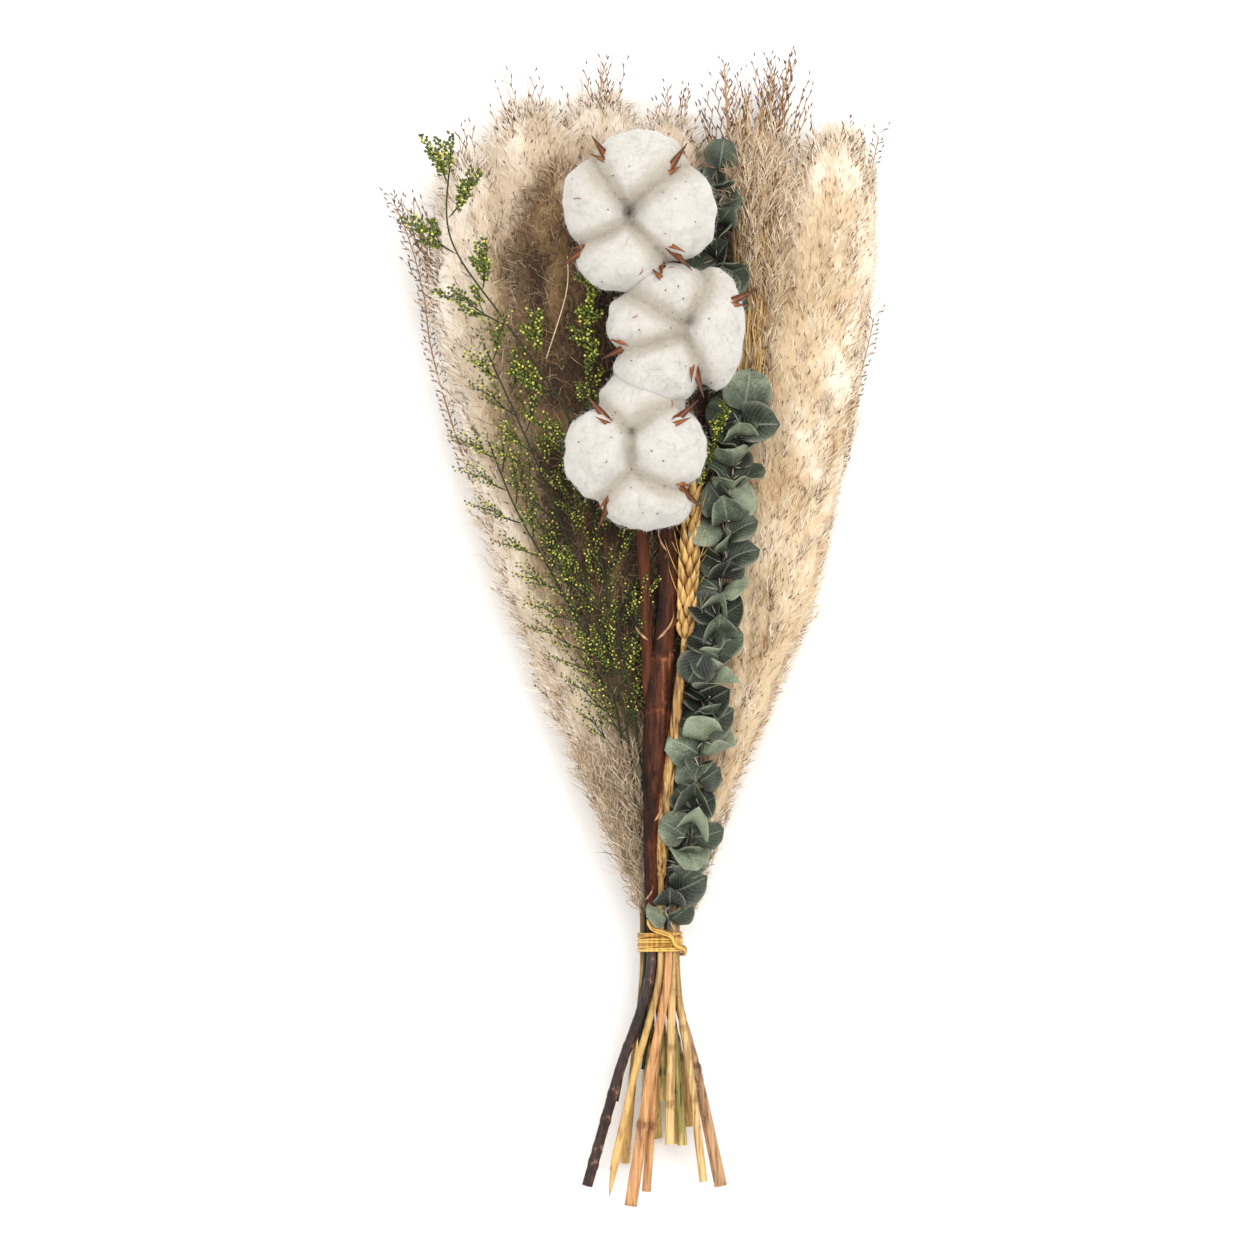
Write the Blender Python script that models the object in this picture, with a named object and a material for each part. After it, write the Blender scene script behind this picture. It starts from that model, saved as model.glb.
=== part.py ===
"""A dried bouquet lying on its back: plumes of pampas and reed grass, a branch of cotton bolls,
eucalyptus, green statice and wheat, all bound at one waist with raffia. +Y runs towards the plume
tips and +Z up from the table. Lengths are in millimetres and MM turns them into Blender's metres."""

import math
import random

import bmesh
import bpy
from mathutils import Matrix, Vector
from mathutils.bvhtree import BVHTree

MM = 0.001
SEED = 11
GOLDEN_ANGLE = math.radians(137.508)
UP = Vector((0.0, 0.0, 1.0))

# Driving sizes
WAIST = Vector((10.4, -126.0, 21.0))
WAIST_GRIP = 5.5
FOOT = Vector((10.4, -231.0, 11.0))
FOOT_SPREAD = Vector((4.6, 2.2))
SPIRAL_TURN = math.radians(55.0)
STALK_STEP = 24.0
GAP = 0.35
CLEARANCE = 0.45
LINT_CLEARANCE = 0.6
CREASE = math.radians(50.0)

# Raffia tie
RAFFIA_WIDE = 1.5
RAFFIA_THICK = 1.0
TIE_TURNS = 4
TIE_PITCH = 1.95
TIE_STEPS = 12
TIE_START = math.radians(-80.0)
TAIL_STEPS = 11
TAIL_SWEEP = math.radians(195.0)
TAIL_LIFTED = 0.3
TAIL_DIP = 0.8
TAIL_RISE = 6.0

# Cotton
BRANCH_SIDES = 8
BRANCH_STEP = 30.0
BRANCH_RADIUS = 2.2
BRANCH_SWELL = 1.3
SWELL_Y = -30.0
SWELL_LENGTH = 75.0
FORK_RADIUS = 1.8
FORK_SIDES = 5
BUR_Z = 53.0
BUR_RADIUS = 6.0
BUR_DEPTH = 4.0
BRACT_THICK = 0.9
BRACT_WIDE = 11.0
BRACT_RISE = 15.0
BRACT_ROOT = 0.08
LOBE_SEGMENTS = 10
LOBE_RINGS = 6
LOCK_PLUMP = 1.06
LOCK_DRAWN_IN = 0.94
LUMP = 0.9

# Wheat
EAR_LOW = -5.0
GRAIN_LEVELS = 8
GRAIN_ROWS = 3
GRAIN_LENGTH = 12.5
GRAIN_OUT = 4.4
GRAIN_HALF_WIDTH = 2.3
AWN_LENGTH = 15.0
AWN_RADIUS = 0.4

# Eucalyptus
LEAF_THICK = 0.7
LEAF_LENGTH = 13.5
LEAF_GROWTH = 14.0
LEAF_EDGE_POINTS = 6
LEAF_FOLD = 0.28
LEAF_TRIES = (1.0, 0.8, 0.62, 0.48)
PAIR_TURNS = (-30.0, 38.0)
PAIR_WOBBLE = 22.0

# Statice
TWIG_RADIUS = 0.6
TWIG_LIFTS = (0.0, 0.2, 0.4, 0.7)
FLORETS = 4
FLORET_LENGTH = 4.6
FLORET_HALF_WIDTH = 1.15

# Plumes
TUFT_HALF_WIDTH = 3.3
TUFT_ROOT = 2.0
TUFT_BOW = 0.05
TUFT_TRIES = [(scale, swing) for scale in (1.0, 0.82, 0.66, 0.52, 0.4) for swing in (0.0, 0.45, -0.45)]
CORE_SHARE = 0.4
CORE_SPARE = 0.42
CORE_LEAST = 1.1
CORE_TIP = 0.7
CORE_SHORT = 6.0

COLOURS = {
    "plume_beige": ((0.62, 0.50, 0.38), 0.9),
    "plume_gold": ((0.80, 0.64, 0.42), 0.9),
    "plume_grey": ((0.42, 0.34, 0.26), 0.9),
    "straw": ((0.68, 0.52, 0.27), 0.6),
    "cotton_lint": ((0.93, 0.91, 0.87), 1.0),
    "cotton_wood": ((0.17, 0.07, 0.045), 0.6),
    "eucalyptus": ((0.12, 0.20, 0.17), 0.6),
    "statice": ((0.16, 0.25, 0.05), 0.7),
    "wheat": ((0.70, 0.50, 0.22), 0.6),
    "raffia": ((0.80, 0.56, 0.20), 0.6),
}

# Each stalk: its place in the tie (across, up), its radius in the tie, at the cut end and at the
# top, the Y of the cut, and its way above the tie as (y, x, z), the last being its tip.
STALKS = {
    "cotton": ((-3.4, 5.9), 1.9, 2.1, 1.8, -223.8,
               [(-77, 6.8, 36), (-34, 9, 40), (11, 11.5, 43), (60, 12.5, 45), (119, 11, 46), (152, 4, 47)]),
    "wheat": ((0.2, 5.9), 1.3, 1.7, 1.0, -227.0, [(-77, 12, 37), (-5, 20, 44), (57, 23.5, 46)]),
    "eucalyptus_front": ((3.3, 5.4), 1.45, 2.6, 0.9, -231.6,
                         [(-77, 23, 36), (0, 33, 43), (60, 39, 46), (103, 47, 48)]),
    "statice_lower": ((-6.0, 2.5), 0.95, 1.2, 0.5, -190.0,
                      [(-77, -2, 27), (-25, -9, 36), (21, -32.5, 44), (47, -47, 47), (74, -58, 50)]),
    "statice_middle": ((-3.4, 2.6), 0.95, 1.2, 0.5, -178.0,
                       [(-77, 1.5, 28.5), (-29, -5, 37), (11, -18, 43), (59, -36, 48), (113, -60, 51)]),
    "statice_upper": ((-1.1, 2.9), 0.95, 1.2, 0.5, -177.0,
                      [(-77, 5, 29), (-29, -1, 37), (11, -10, 43), (83, -26, 50), (120, -50, 52),
                       (155, -73, 54), (191, -73, 56)]),
    "eucalyptus_back": ((1.5, 2.6), 1.4, 1.8, 0.9, -226.0,
                        [(-77, 15.5, 33), (27, 24, 37), (107, 31, 41), (185, 33.6, 43)]),
    "plume_stalked": ((4.8, 2.4), 1.45, 1.9, 1.2, -207.0,
                      [(-77, 18.5, 26), (27, 31, 34), (107, 41, 38), (228, 36, 36)]),
    "plume_left_edge": ((-6.6, -0.5), 1.45, 1.8, 1.2, -215.0,
                        [(-77, -6, 20.5), (27, -45, 19), (131, -74, 22), (173, -94, 27)]),
    "plume_grey": ((-3.3, -0.4), 1.45, 1.8, 1.2, -200.0,
                   [(-77, 3, 24.5), (27, -14, 33), (131, -27, 35), (190, -29, 38)]),
    "plume_top": ((0.0, -0.4), 1.45, 1.8, 1.2, -190.0,
                  [(-77, 10, 21), (27, 9, 24), (131, 12, 28), (218, 13.5, 30)]),
    "plume_tall_right": ((3.3, -0.5), 1.45, 2.0, 1.2, -207.5,
                         [(-77, 17, 18), (27, 35, 14), (131, 50, 16), (231, 57, 22)]),
    "plume_right_edge": ((6.6, -0.3), 1.45, 1.7, 1.2, -222.0,
                         [(-77, 30, 24), (27, 64, 26), (131, 83, 26), (199, 94, 28)]),
    "plume_left": ((-4.9, -3.4), 1.45, 2.4, 1.2, -205.0,
                   [(-77, -1.5, 17), (27, -32, 26), (131, -57, 28), (200, -71, 30)]),
    "plume_top_left": ((-1.7, -3.5), 1.45, 2.3, 1.2, -207.0,
                       [(-77, 2, 17), (27, -19, 17), (131, -36, 20), (224, -43, 26)]),
    "plume_centre": ((1.6, -3.5), 1.45, 2.0, 1.2, -200.0,
                     [(-77, 7, 15), (27, -2, 12), (131, -11, 14), (231.5, -13.5, 20)]),
    "plume_right": ((4.95, -3.4), 1.45, 2.7, 1.2, -224.0,
                    [(-77, 25, 19), (27, 52, 20), (131, 73, 22), (204, 84, 26)]),
}

# Each plume: the Y where the head starts, its widest reach, how many tufts, and its colour.
PLUMES = {
    "plume_left_edge": (-110, 17, 26, "plume_beige"),
    "plume_left": (-110, 24, 29, "plume_beige"),
    "plume_top_left": (-108, 29, 30, "plume_beige"),
    "plume_grey": (-45, 26, 25, "plume_grey"),
    "plume_centre": (-104, 26, 28, "plume_beige"),
    "plume_top": (-96, 26, 28, "plume_beige"),
    "plume_stalked": (98, 26, 21, "plume_grey"),
    "plume_tall_right": (-50, 26, 28, "plume_beige"),
    "plume_right": (-108, 32, 34, "plume_gold"),
    "plume_right_edge": (-106, 18, 27, "plume_gold"),
}

# Each boll: its middle (x, y) and its locks of lint as (offset, radii).
BOLLS = {
    "top": ((1.6, 166.2), [((0.8, 16.8, 19), (19, 15, 16)), ((-18, 2, 18), (12.5, 18, 15)),
                           ((15, -1.2, 20), (16, 19.5, 17)), ((-6.4, -20, 19), (18, 13, 15))]),
    "middle": ((19.2, 119.0), [((-4, 14, 19), (18, 12, 15)), ((13.2, 0, 18), (11.5, 24, 16)),
                               ((-15.6, 2, 18), (15, 14.5, 15)), ((-8.8, -16.8, 19), (18, 14, 15))]),
    "bottom": ((0.0, 69.0), [((-14.4, 0, 19), (13.2, 18, 16)), ((14, 2, 20), (14.8, 18, 17)),
                             ((5.2, -19.2, 18), (18, 11.5, 15)), ((3.6, 21.2, 17), (17, 14, 13.5))]),
}
# The bracts of each bur, as the (x, y) of their points from the boll's middle.
BRACTS = {
    "top": [(-16, 27), (17, 21), (-27, -21), (17, -22)],
    "middle": [(-30, -10), (7, -23), (26, 14), (-10, 27)],
    "bottom": [(-15, 19), (22, 17), (24, -17), (-13, -25)],
}

rng = random.Random(SEED)
taken = {}


class Course:
    """A stalk's way through the bunch: straight from its cut end to the tie, then a smooth curve."""

    def __init__(self, name):
        slot, self.waist_radius, self.cut_radius, self.top_radius, self.cut_y, upper = STALKS[name]
        self.slot = Vector(slot)
        top, bottom = WAIST.y + WAIST_GRIP, WAIST.y - WAIST_GRIP
        held = (WAIST.x + self.slot.x, WAIST.z + self.slot.y)
        halfway = (bottom + FOOT.y) / 2
        self.knots = [(FOOT.y, *self.foot(1.0)), (halfway, *self.foot(0.5)), (bottom, *held), (top, *held)]
        self.knots += [(float(y), float(x), float(z)) for y, x, z in upper]
        self.tip_y = self.knots[-1][0]
        self.bare_y = PLUMES[name][0] - GAP / 2 if name in PLUMES else self.tip_y

    def foot(self, share):
        """Where the stalk is, this share of the way from the tie down to the foot's level."""
        turned = Matrix.Rotation(SPIRAL_TURN, 2) @ self.slot
        place = self.slot.lerp(turned * FOOT_SPREAD, share)
        middle = WAIST.lerp(FOOT, share)
        return middle.x + place.x, middle.z + place.y

    def slope(self, k):
        """How x and z change with y at a knot; the two knots at the tie lie straight."""
        if k in (2, 3):
            return 0.0, 0.0
        low, high = self.knots[max(k - 1, 0)], self.knots[min(k + 1, len(self.knots) - 1)]
        run = high[0] - low[0]
        return (high[1] - low[1]) / run, (high[2] - low[2]) / run

    def at(self, y):
        """The point of the stalk at this Y, by cubic curves through the knots."""
        k = 0
        while k < len(self.knots) - 2 and y > self.knots[k + 1][0]:
            k += 1
        low, high = self.knots[k], self.knots[k + 1]
        run = high[0] - low[0]
        t = (y - low[0]) / run
        ends = ((2 * t - 3) * t * t + 1, (3 - 2 * t) * t * t)
        turns = (((t - 2) * t + 1) * t * run, (t - 1) * t * t * run)
        low_slope, high_slope = self.slope(k), self.slope(k + 1)
        x, z = (ends[0] * low[1 + i] + ends[1] * high[1 + i] + turns[0] * low_slope[i]
                + turns[1] * high_slope[i] for i in (0, 1))
        return Vector((x, y, z))

    def heading(self, y):
        return (self.at(y + 0.5) - self.at(y - 0.5)).normalized()


courses = {name: Course(name) for name in STALKS}


def spread_values(low, high, step):
    """Even values from low to high, about a step apart."""
    count = max(1, round((high - low) / step))
    return [low + (high - low) * k / count for k in range(count + 1)]


def across(direction):
    """Two unit vectors square to this direction and to each other."""
    side = direction.cross(UP)
    if side.length < 0.01:
        side = Vector((1.0, 0.0, 0.0))
    side.normalize()
    return side, side.cross(direction).normalized()


def material(name):
    found = bpy.data.materials.get(name)
    if found:
        return found
    made = bpy.data.materials.new(name)
    made.use_nodes = True
    shader = made.node_tree.nodes["Principled BSDF"]
    colour, roughness = COLOURS[name]
    shader.inputs["Base Color"].default_value = (*colour, 1.0)
    shader.inputs["Roughness"].default_value = roughness
    shader.inputs["Metallic"].default_value = 0.0
    return made


def as_object(name, bm, finish=None, smooth=True):
    """A bmesh in millimetres, made an object in metres."""
    bmesh.ops.remove_doubles(bm, verts=bm.verts, dist=0.001)
    bmesh.ops.recalc_face_normals(bm, faces=bm.faces)
    bmesh.ops.scale(bm, vec=(MM, MM, MM), verts=bm.verts)
    mesh = bpy.data.meshes.new(name)
    bm.to_mesh(mesh)
    bm.free()
    obj = bpy.data.objects.new(name, mesh)
    bpy.context.scene.collection.objects.link(obj)
    if finish:
        mesh.materials.append(material(finish))
        if smooth:
            mesh.shade_smooth()
            mesh.set_sharp_from_angle(angle=CREASE)
    return obj


def tube(points, radii, sides):
    """A round bar through the points, closed at both ends."""
    bm = bmesh.new()
    rings = []
    for k, (point, radius) in enumerate(zip(points, radii)):
        ahead = (points[min(k + 1, len(points) - 1)] - points[max(k - 1, 0)]).normalized()
        side, rise = across(ahead)
        turned = Matrix((side, rise, ahead)).transposed().to_4x4()
        turned.translation = point
        ring = bmesh.ops.create_circle(bm, segments=sides, radius=radius, matrix=turned)["verts"]
        rings.append(ring)
    for low, high in zip(rings, rings[1:]):
        for k in range(sides):
            bm.faces.new((low[k], low[(k + 1) % sides], high[(k + 1) % sides], high[k]))
    bm.faces.new(rings[0])
    bm.faces.new(rings[-1])
    return bm


def outward(direction, angle):
    """The unit vector square to a direction, at this angle round it."""
    side, rise = across(direction)
    return math.cos(angle) * side + math.sin(angle) * rise


def spindle(root, tip, half_width, bow=Vector(), fattest=0.42):
    """A slim three-sided body, pointed at both ends and bowed to one side."""
    bm = bmesh.new()
    ahead = (tip - root).normalized()
    belly = root.lerp(tip, fattest) + bow
    ends = [bm.verts.new(root), bm.verts.new(tip)]
    ring = [bm.verts.new(belly + half_width * outward(ahead, 2 * math.pi * k / 3)) for k in range(3)]
    for k in range(3):
        for end in ends:
            bm.faces.new((ring[k], ring[k - 1], end))
    return bm


def tree_of(bm, clearance=0.0):
    """A search tree of a bmesh, with its skin moved out by the clearance."""
    bm.normal_update()
    bmesh.ops.recalc_face_normals(bm, faces=bm.faces)
    points = [v.co + clearance * v.normal for v in bm.verts]
    bm.verts.index_update()
    return BVHTree.FromPolygons(points, [[v.index for v in f.verts] for f in bm.faces])


def take(name, obj):
    """Notes the room that a finished solid takes, in millimetres."""
    mesh = obj.data
    points = [v.co / MM for v in mesh.vertices]
    taken[name] = BVHTree.FromPolygons(points, [list(p.vertices) for p in mesh.polygons])


def is_clear(bm, own=None):
    """Whether a bmesh stays off every finished solid but its own."""
    tree = tree_of(bm, CLEARANCE)
    return not any(tree.overlap(other) for name, other in taken.items() if name != own)


def largest_body(obj):
    """Drops the loose scraps that a Boolean may leave."""
    bm = bmesh.new()
    bm.from_mesh(obj.data)
    bm.verts.ensure_lookup_table()
    left, bodies = set(bm.verts), []
    while left:
        body, edge = set(), [left.pop()]
        while edge:
            vert = edge.pop()
            body.add(vert)
            for link in vert.link_edges:
                other = link.other_vert(vert)
                if other in left:
                    left.remove(other)
                    edge.append(other)
        bodies.append(body)
    bodies.sort(key=len)
    loose = [v for body in bodies[:-1] for v in body]
    bmesh.ops.delete(bm, geom=loose, context="VERTS")
    bmesh.ops.triangulate(bm, faces=bm.faces)
    bm.to_mesh(obj.data)
    bm.free()


def boolean(obj, operation, repeats, solver):
    """Joins the repeats to an object, or cuts them from it, in one go."""
    group = bpy.data.collections.new(obj.name + "_repeats")
    bpy.context.scene.collection.children.link(group)
    for k, bm in enumerate(repeats):
        piece = as_object(f"{obj.name}_{k}", bm)
        bpy.context.scene.collection.objects.unlink(piece)
        group.objects.link(piece)
    modifier = obj.modifiers.new("boolean", "BOOLEAN")
    modifier.operation = operation
    modifier.solver = solver
    modifier.operand_type = "COLLECTION"
    modifier.collection = group
    with bpy.context.temp_override(object=obj):
        bpy.ops.object.modifier_apply(modifier=modifier.name)
    for piece in list(group.objects):
        bpy.data.objects.remove(piece)
    bpy.data.collections.remove(group)


def fuse(name, body, repeats, finish, cutters=(), solver="EXACT"):
    """One solid of a trunk and all that grows from it, less any cutters."""
    obj = as_object(name, body, finish, smooth=False)
    if repeats:
        boolean(obj, "UNION", repeats, solver)
    if cutters:
        boolean(obj, "DIFFERENCE", cutters, solver)
    largest_body(obj)
    obj.data.shade_smooth()
    obj.data.set_sharp_from_angle(angle=CREASE)
    take(name, obj)


def stalk_points(course, step):
    """The points and radii of a stalk, from its cut end to the end of its bare length."""
    below, above = WAIST.y - WAIST_GRIP, WAIST.y + WAIST_GRIP
    points, radii = [], []
    for y in spread_values(course.cut_y, below, step):
        share = (below - y) / (below - course.cut_y)
        points.append(course.at(y))
        radii.append(course.waist_radius + (course.cut_radius - course.waist_radius) * share)
    for y in spread_values(above, course.bare_y, step):
        share = (y - above) / (course.bare_y - above)
        points.append(course.at(y))
        radii.append(course.waist_radius + (course.top_radius - course.waist_radius) * share)
    return points, radii


def cotton_points(grow=0.0):
    """The woody branch swells above the tie and ends in the top boll's bur."""
    course = courses["cotton"]
    points, radii = stalk_points(course, BRANCH_STEP)
    for k, point in enumerate(points):
        if point.y > WAIST.y + 2 * WAIST_GRIP:
            radii[k] = BRANCH_RADIUS + BRANCH_SWELL * math.exp(-((point.y - SWELL_Y) / SWELL_LENGTH) ** 2)
    points.append(Vector((*BOLLS["top"][0], BUR_Z)))
    radii.append(course.top_radius)
    return points, [radius + grow for radius in radii]


def trunk(name):
    """The bare stalk of anything but a plume, as a bmesh."""
    if name == "cotton":
        return tube(*cotton_points(), BRANCH_SIDES)
    return tube(*stalk_points(courses[name], STALK_STEP), 5 if "statice" in name else 6)


def core(name):
    """A plume head's slim core, as a bmesh."""
    course = courses[name]
    ys = spread_values(PLUMES[name][0] + GAP / 2, course.tip_y - CORE_SHORT, STALK_STEP)
    return tube([course.at(y) for y in ys], [core_radius(name, y) for y in ys[:-1]] + [CORE_TIP], 6)


def keep_room():
    """Notes the room of every stalk and core, before anything grows from them."""
    for name in STALKS:
        taken[name] = tree_of(core(name) if name in PLUMES else trunk(name))


def wrapped(angle, lift, y):
    """A point of the raffia's middle line, this lift above the stalks, and the way out there."""
    out = Vector((math.cos(angle), math.sin(angle)))
    slot, radius = max(((Vector(s[0]), s[1]) for s in STALKS.values()), key=lambda c: c[0].dot(out) + c[1])
    place = slot + (radius + GAP + RAFFIA_THICK / 2 + lift) * out
    return Vector((WAIST.x + place.x, y, WAIST.z + place.y)), Vector((out.x, 0.0, out.y))


def make_tie():
    """Raffia wound round the stalks, its end led up over the turns."""
    top_y = WAIST.y + TIE_PITCH * TIE_TURNS / 2
    path = []
    for k in range(TIE_TURNS * TIE_STEPS + 1):
        turns = k / TIE_STEPS
        path.append(wrapped(TIE_START + 2 * math.pi * turns, 0.0, top_y - TIE_PITCH * turns))
    foot_y = top_y - TIE_PITCH * TIE_TURNS
    for k in range(1, TAIL_STEPS + 1):
        share = k / TAIL_STEPS
        lifted = min(1.0, share / TAIL_LIFTED)
        risen = max(0.0, (share - TAIL_LIFTED) / (1.0 - TAIL_LIFTED)) ** 1.5
        y = foot_y - TAIL_DIP * lifted + (top_y - foot_y + TAIL_RISE) * risen
        path.append(wrapped(TIE_START + TAIL_SWEEP * share, (RAFFIA_THICK + GAP) * lifted, y))
    bm = bmesh.new()
    rows = []
    for k, (point, out) in enumerate(path):
        ahead = (path[min(k + 1, len(path) - 1)][0] - path[max(k - 1, 0)][0]).normalized()
        out = (out - ahead * out.dot(ahead)).normalized() * RAFFIA_THICK / 2
        wide = ahead.cross(out).normalized() * RAFFIA_WIDE / 2
        corners = (-wide - out, wide - out, wide + out, out - wide)
        rows.append([bm.verts.new(point + corner) for corner in corners])
    for low, high in zip(rows, rows[1:]):
        for k in range(4):
            bm.faces.new((low[k - 1], low[k], high[k], high[k - 1]))
    bm.faces.new(rows[0])
    bm.faces.new(rows[-1])
    take("raffia_tie", as_object("raffia_tie", bm, "raffia"))


def make_plume_stalks():
    """The bare stalk of each plume, up to where its head starts."""
    for name in PLUMES:
        label = name.replace("plume", "stalk")
        take(label, as_object(label, tube(*stalk_points(courses[name], STALK_STEP), 6), "straw"))


def bract(base, point, width, thick):
    """One pointed bract of a cotton bur, its broad shoulders a little lower than its point."""
    bm = bmesh.new()
    ahead = point - base
    side = Vector((-ahead.y, ahead.x, 0.0)).normalized() * width / 2
    shoulder = base + ahead * 0.55 - UP * 1.5
    rim = [base - 0.7 * side, shoulder - side, point, shoulder + side, base + 0.7 * side]
    upper = [bm.verts.new(v + UP * thick / 2) for v in rim]
    lower = [bm.verts.new(v - UP * thick / 2) for v in rim]
    bm.faces.new(upper)
    bm.faces.new(lower)
    for k in range(len(rim)):
        bm.faces.new((upper[k - 1], upper[k], lower[k], lower[k - 1]))
    bmesh.ops.triangulate(bm, faces=bm.faces)
    return bm


def cotton_repeats(grow=0.0):
    """The fork to each lower boll, and the open bur under every boll, grown by this much."""
    course = courses["cotton"]
    middle = {name: Vector((*place, BUR_Z)) for name, (place, _) in BOLLS.items()}
    ways = [
        [course.at(92.0), Vector((17.0, 108.0, 49.0)), middle["middle"]],
        [course.at(-36.0), Vector((5.4, -20.0, 43.0)), Vector((4.6, 11.0, 44.5)),
         Vector((1.0, 48.0, 47.0)), middle["bottom"]],
    ]
    repeats = [tube(way, [FORK_RADIUS + grow] * len(way), FORK_SIDES) for way in ways]
    for name, tips in BRACTS.items():
        base = middle[name]
        cup = bmesh.new()
        bmesh.ops.create_cone(cup, cap_ends=True, segments=6, radius1=BRANCH_RADIUS + grow,
                              radius2=BUR_RADIUS + grow, depth=BUR_DEPTH + 2 * grow,
                              matrix=Matrix.Translation(base))
        repeats.append(cup)
        for x, y in tips:
            root = base + Vector((x, y, 0.0)) * BRACT_ROOT
            reach = base + Vector((x, y, BRACT_RISE)) - root
            point = root + reach * (1.0 + 2 * grow / reach.length)
            repeats.append(bract(root, point, BRACT_WIDE + 4 * grow, BRACT_THICK + 4 * grow))
    return repeats


def locks(name, grow=0.0):
    """A boll's locks of lint, lumpy by a formula and grown by this much."""
    (x, y), shapes = BOLLS[name]
    made = []
    for offset, radii in shapes:
        bm = bmesh.new()
        place = Vector((x, y, BUR_Z)) + Vector(offset) * Vector((LOCK_DRAWN_IN, LOCK_DRAWN_IN, 1.0))
        size = Matrix.Diagonal((*(LOCK_PLUMP * radius + grow for radius in radii), 1.0))
        bmesh.ops.create_uvsphere(bm, u_segments=LOBE_SEGMENTS, v_segments=LOBE_RINGS, radius=1.0,
                                  matrix=Matrix.Translation(place) @ size)
        for v in bm.verts:
            wave = math.sin(0.31 * v.co.x + 0.17 * v.co.y) * math.cos(0.27 * v.co.y - 0.22 * v.co.z)
            v.co += (v.co - place).normalized() * LUMP * wave
        made.append(bm)
    return made


def make_cotton():
    """The branch with its burs, then each boll's lint, pressed against the bur and the boll above."""
    fuse("cotton", trunk("cotton"), cotton_repeats(), "cotton_wood")
    above = []
    for name in BOLLS:
        body, *others = locks(name)
        cutters = [tube(*cotton_points(CLEARANCE), BRANCH_SIDES), *cotton_repeats(CLEARANCE)]
        for other in above:
            cutters += locks(other, LINT_CLEARANCE)
        fuse(f"lint_{name}", body, others, "cotton_lint", cutters, solver="MANIFOLD")
        above.append(name)


def make_wheat():
    """A straw with its ear of grains in rows, and a few awns."""
    course = courses["wheat"]
    repeats = []
    for level in range(GRAIN_LEVELS):
        share = level / (GRAIN_LEVELS - 1)
        y = EAR_LOW + (course.tip_y - EAR_LOW) * share * 0.9
        middle, ahead = course.at(y), course.heading(y)
        plump = 1.0 - 0.75 * abs(share - 0.4)
        for k in range(GRAIN_ROWS):
            out = outward(ahead, math.radians(40 + 120 * k + 60 * (level % 2)))
            tip = middle + ahead * GRAIN_LENGTH + out * GRAIN_OUT * plump
            grown = [spindle(middle, tip, GRAIN_HALF_WIDTH * plump, out * 1.5)]
            if level % 3 == 1 and k != 1:
                low, far = tip - ahead * 4.0 - out * 0.8, tip + ahead * AWN_LENGTH + out * 2.2
                grown.append(spindle(low, far, AWN_RADIUS))
            repeats += [bm for bm in grown if is_clear(bm, "wheat")]
    fuse("wheat", trunk("wheat"), repeats, "wheat")


def leaf(root, ahead, facing, length):
    """A round eucalyptus blade, folded a little along its midrib, closed and thin."""
    bm = bmesh.new()
    side = ahead.cross(facing).normalized()
    face = side.cross(ahead).normalized()
    rim = []
    for k in range(LEAF_EDGE_POINTS):
        angle = 2 * math.pi * k / LEAF_EDGE_POINTS
        along, aside = 0.5 - 0.5 * math.cos(angle), 0.5 * math.sin(angle)
        rim.append(root + length * (ahead * along + side * aside + face * LEAF_FOLD * abs(aside)))
    middle = root + ahead * 0.5 * length
    skins = []
    for shift in (face * LEAF_THICK / 2, -face * LEAF_THICK / 2):
        ring = [bm.verts.new(p + shift) for p in rim]
        hub = bm.verts.new(middle + shift)
        for k in range(LEAF_EDGE_POINTS):
            bm.faces.new((ring[k - 1], ring[k], hub))
        skins.append(ring)
    upper, lower = skins
    for k in range(LEAF_EDGE_POINTS):
        bm.faces.new((upper[k - 1], upper[k], lower[k], lower[k - 1]))
    return bm


def make_eucalyptus(name, first_y, last_y, pairs):
    """A leafy stem with its round leaves in crossed pairs, largest at both ends."""
    course = courses[name]
    repeats = []
    for k in range(pairs):
        share = k / (pairs - 1)
        y = first_y + (last_y - first_y) * share
        node, ahead = course.at(y), course.heading(y)
        length = LEAF_LENGTH + LEAF_GROWTH * max(0.0, abs(share - 0.45) - 0.2)
        for opposite in (0.0, 180.0):
            turn = PAIR_TURNS[k % 2] + opposite + rng.uniform(-PAIR_WOBBLE, PAIR_WOBBLE)
            out = outward(ahead, math.radians(turn))
            way = (out + ahead * rng.uniform(0.25, 0.75)).normalized()
            for scale in LEAF_TRIES:
                blade = leaf(node + out * 0.4, way, ahead * 0.5 - out * 0.2 + UP * 1.3, length * scale)
                if is_clear(blade, name):
                    repeats.append(blade)
                    break
                blade.free()
    fuse(name, trunk(name), repeats, "eucalyptus")


def florets(node, way, length, name):
    """Small florets along a twig, each turned its own way."""
    made = []
    for n in range(FLORETS):
        spot = node + way * length * (0.4 + 0.58 * n / (FLORETS - 1))
        out = (outward(way, rng.uniform(0.0, 2 * math.pi)) + way * 0.9).normalized()
        floret = spindle(spot - out * 0.6, spot + out * FLORET_LENGTH, FLORET_HALF_WIDTH)
        if is_clear(floret, name):
            made.append(floret)
    return made


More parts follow.
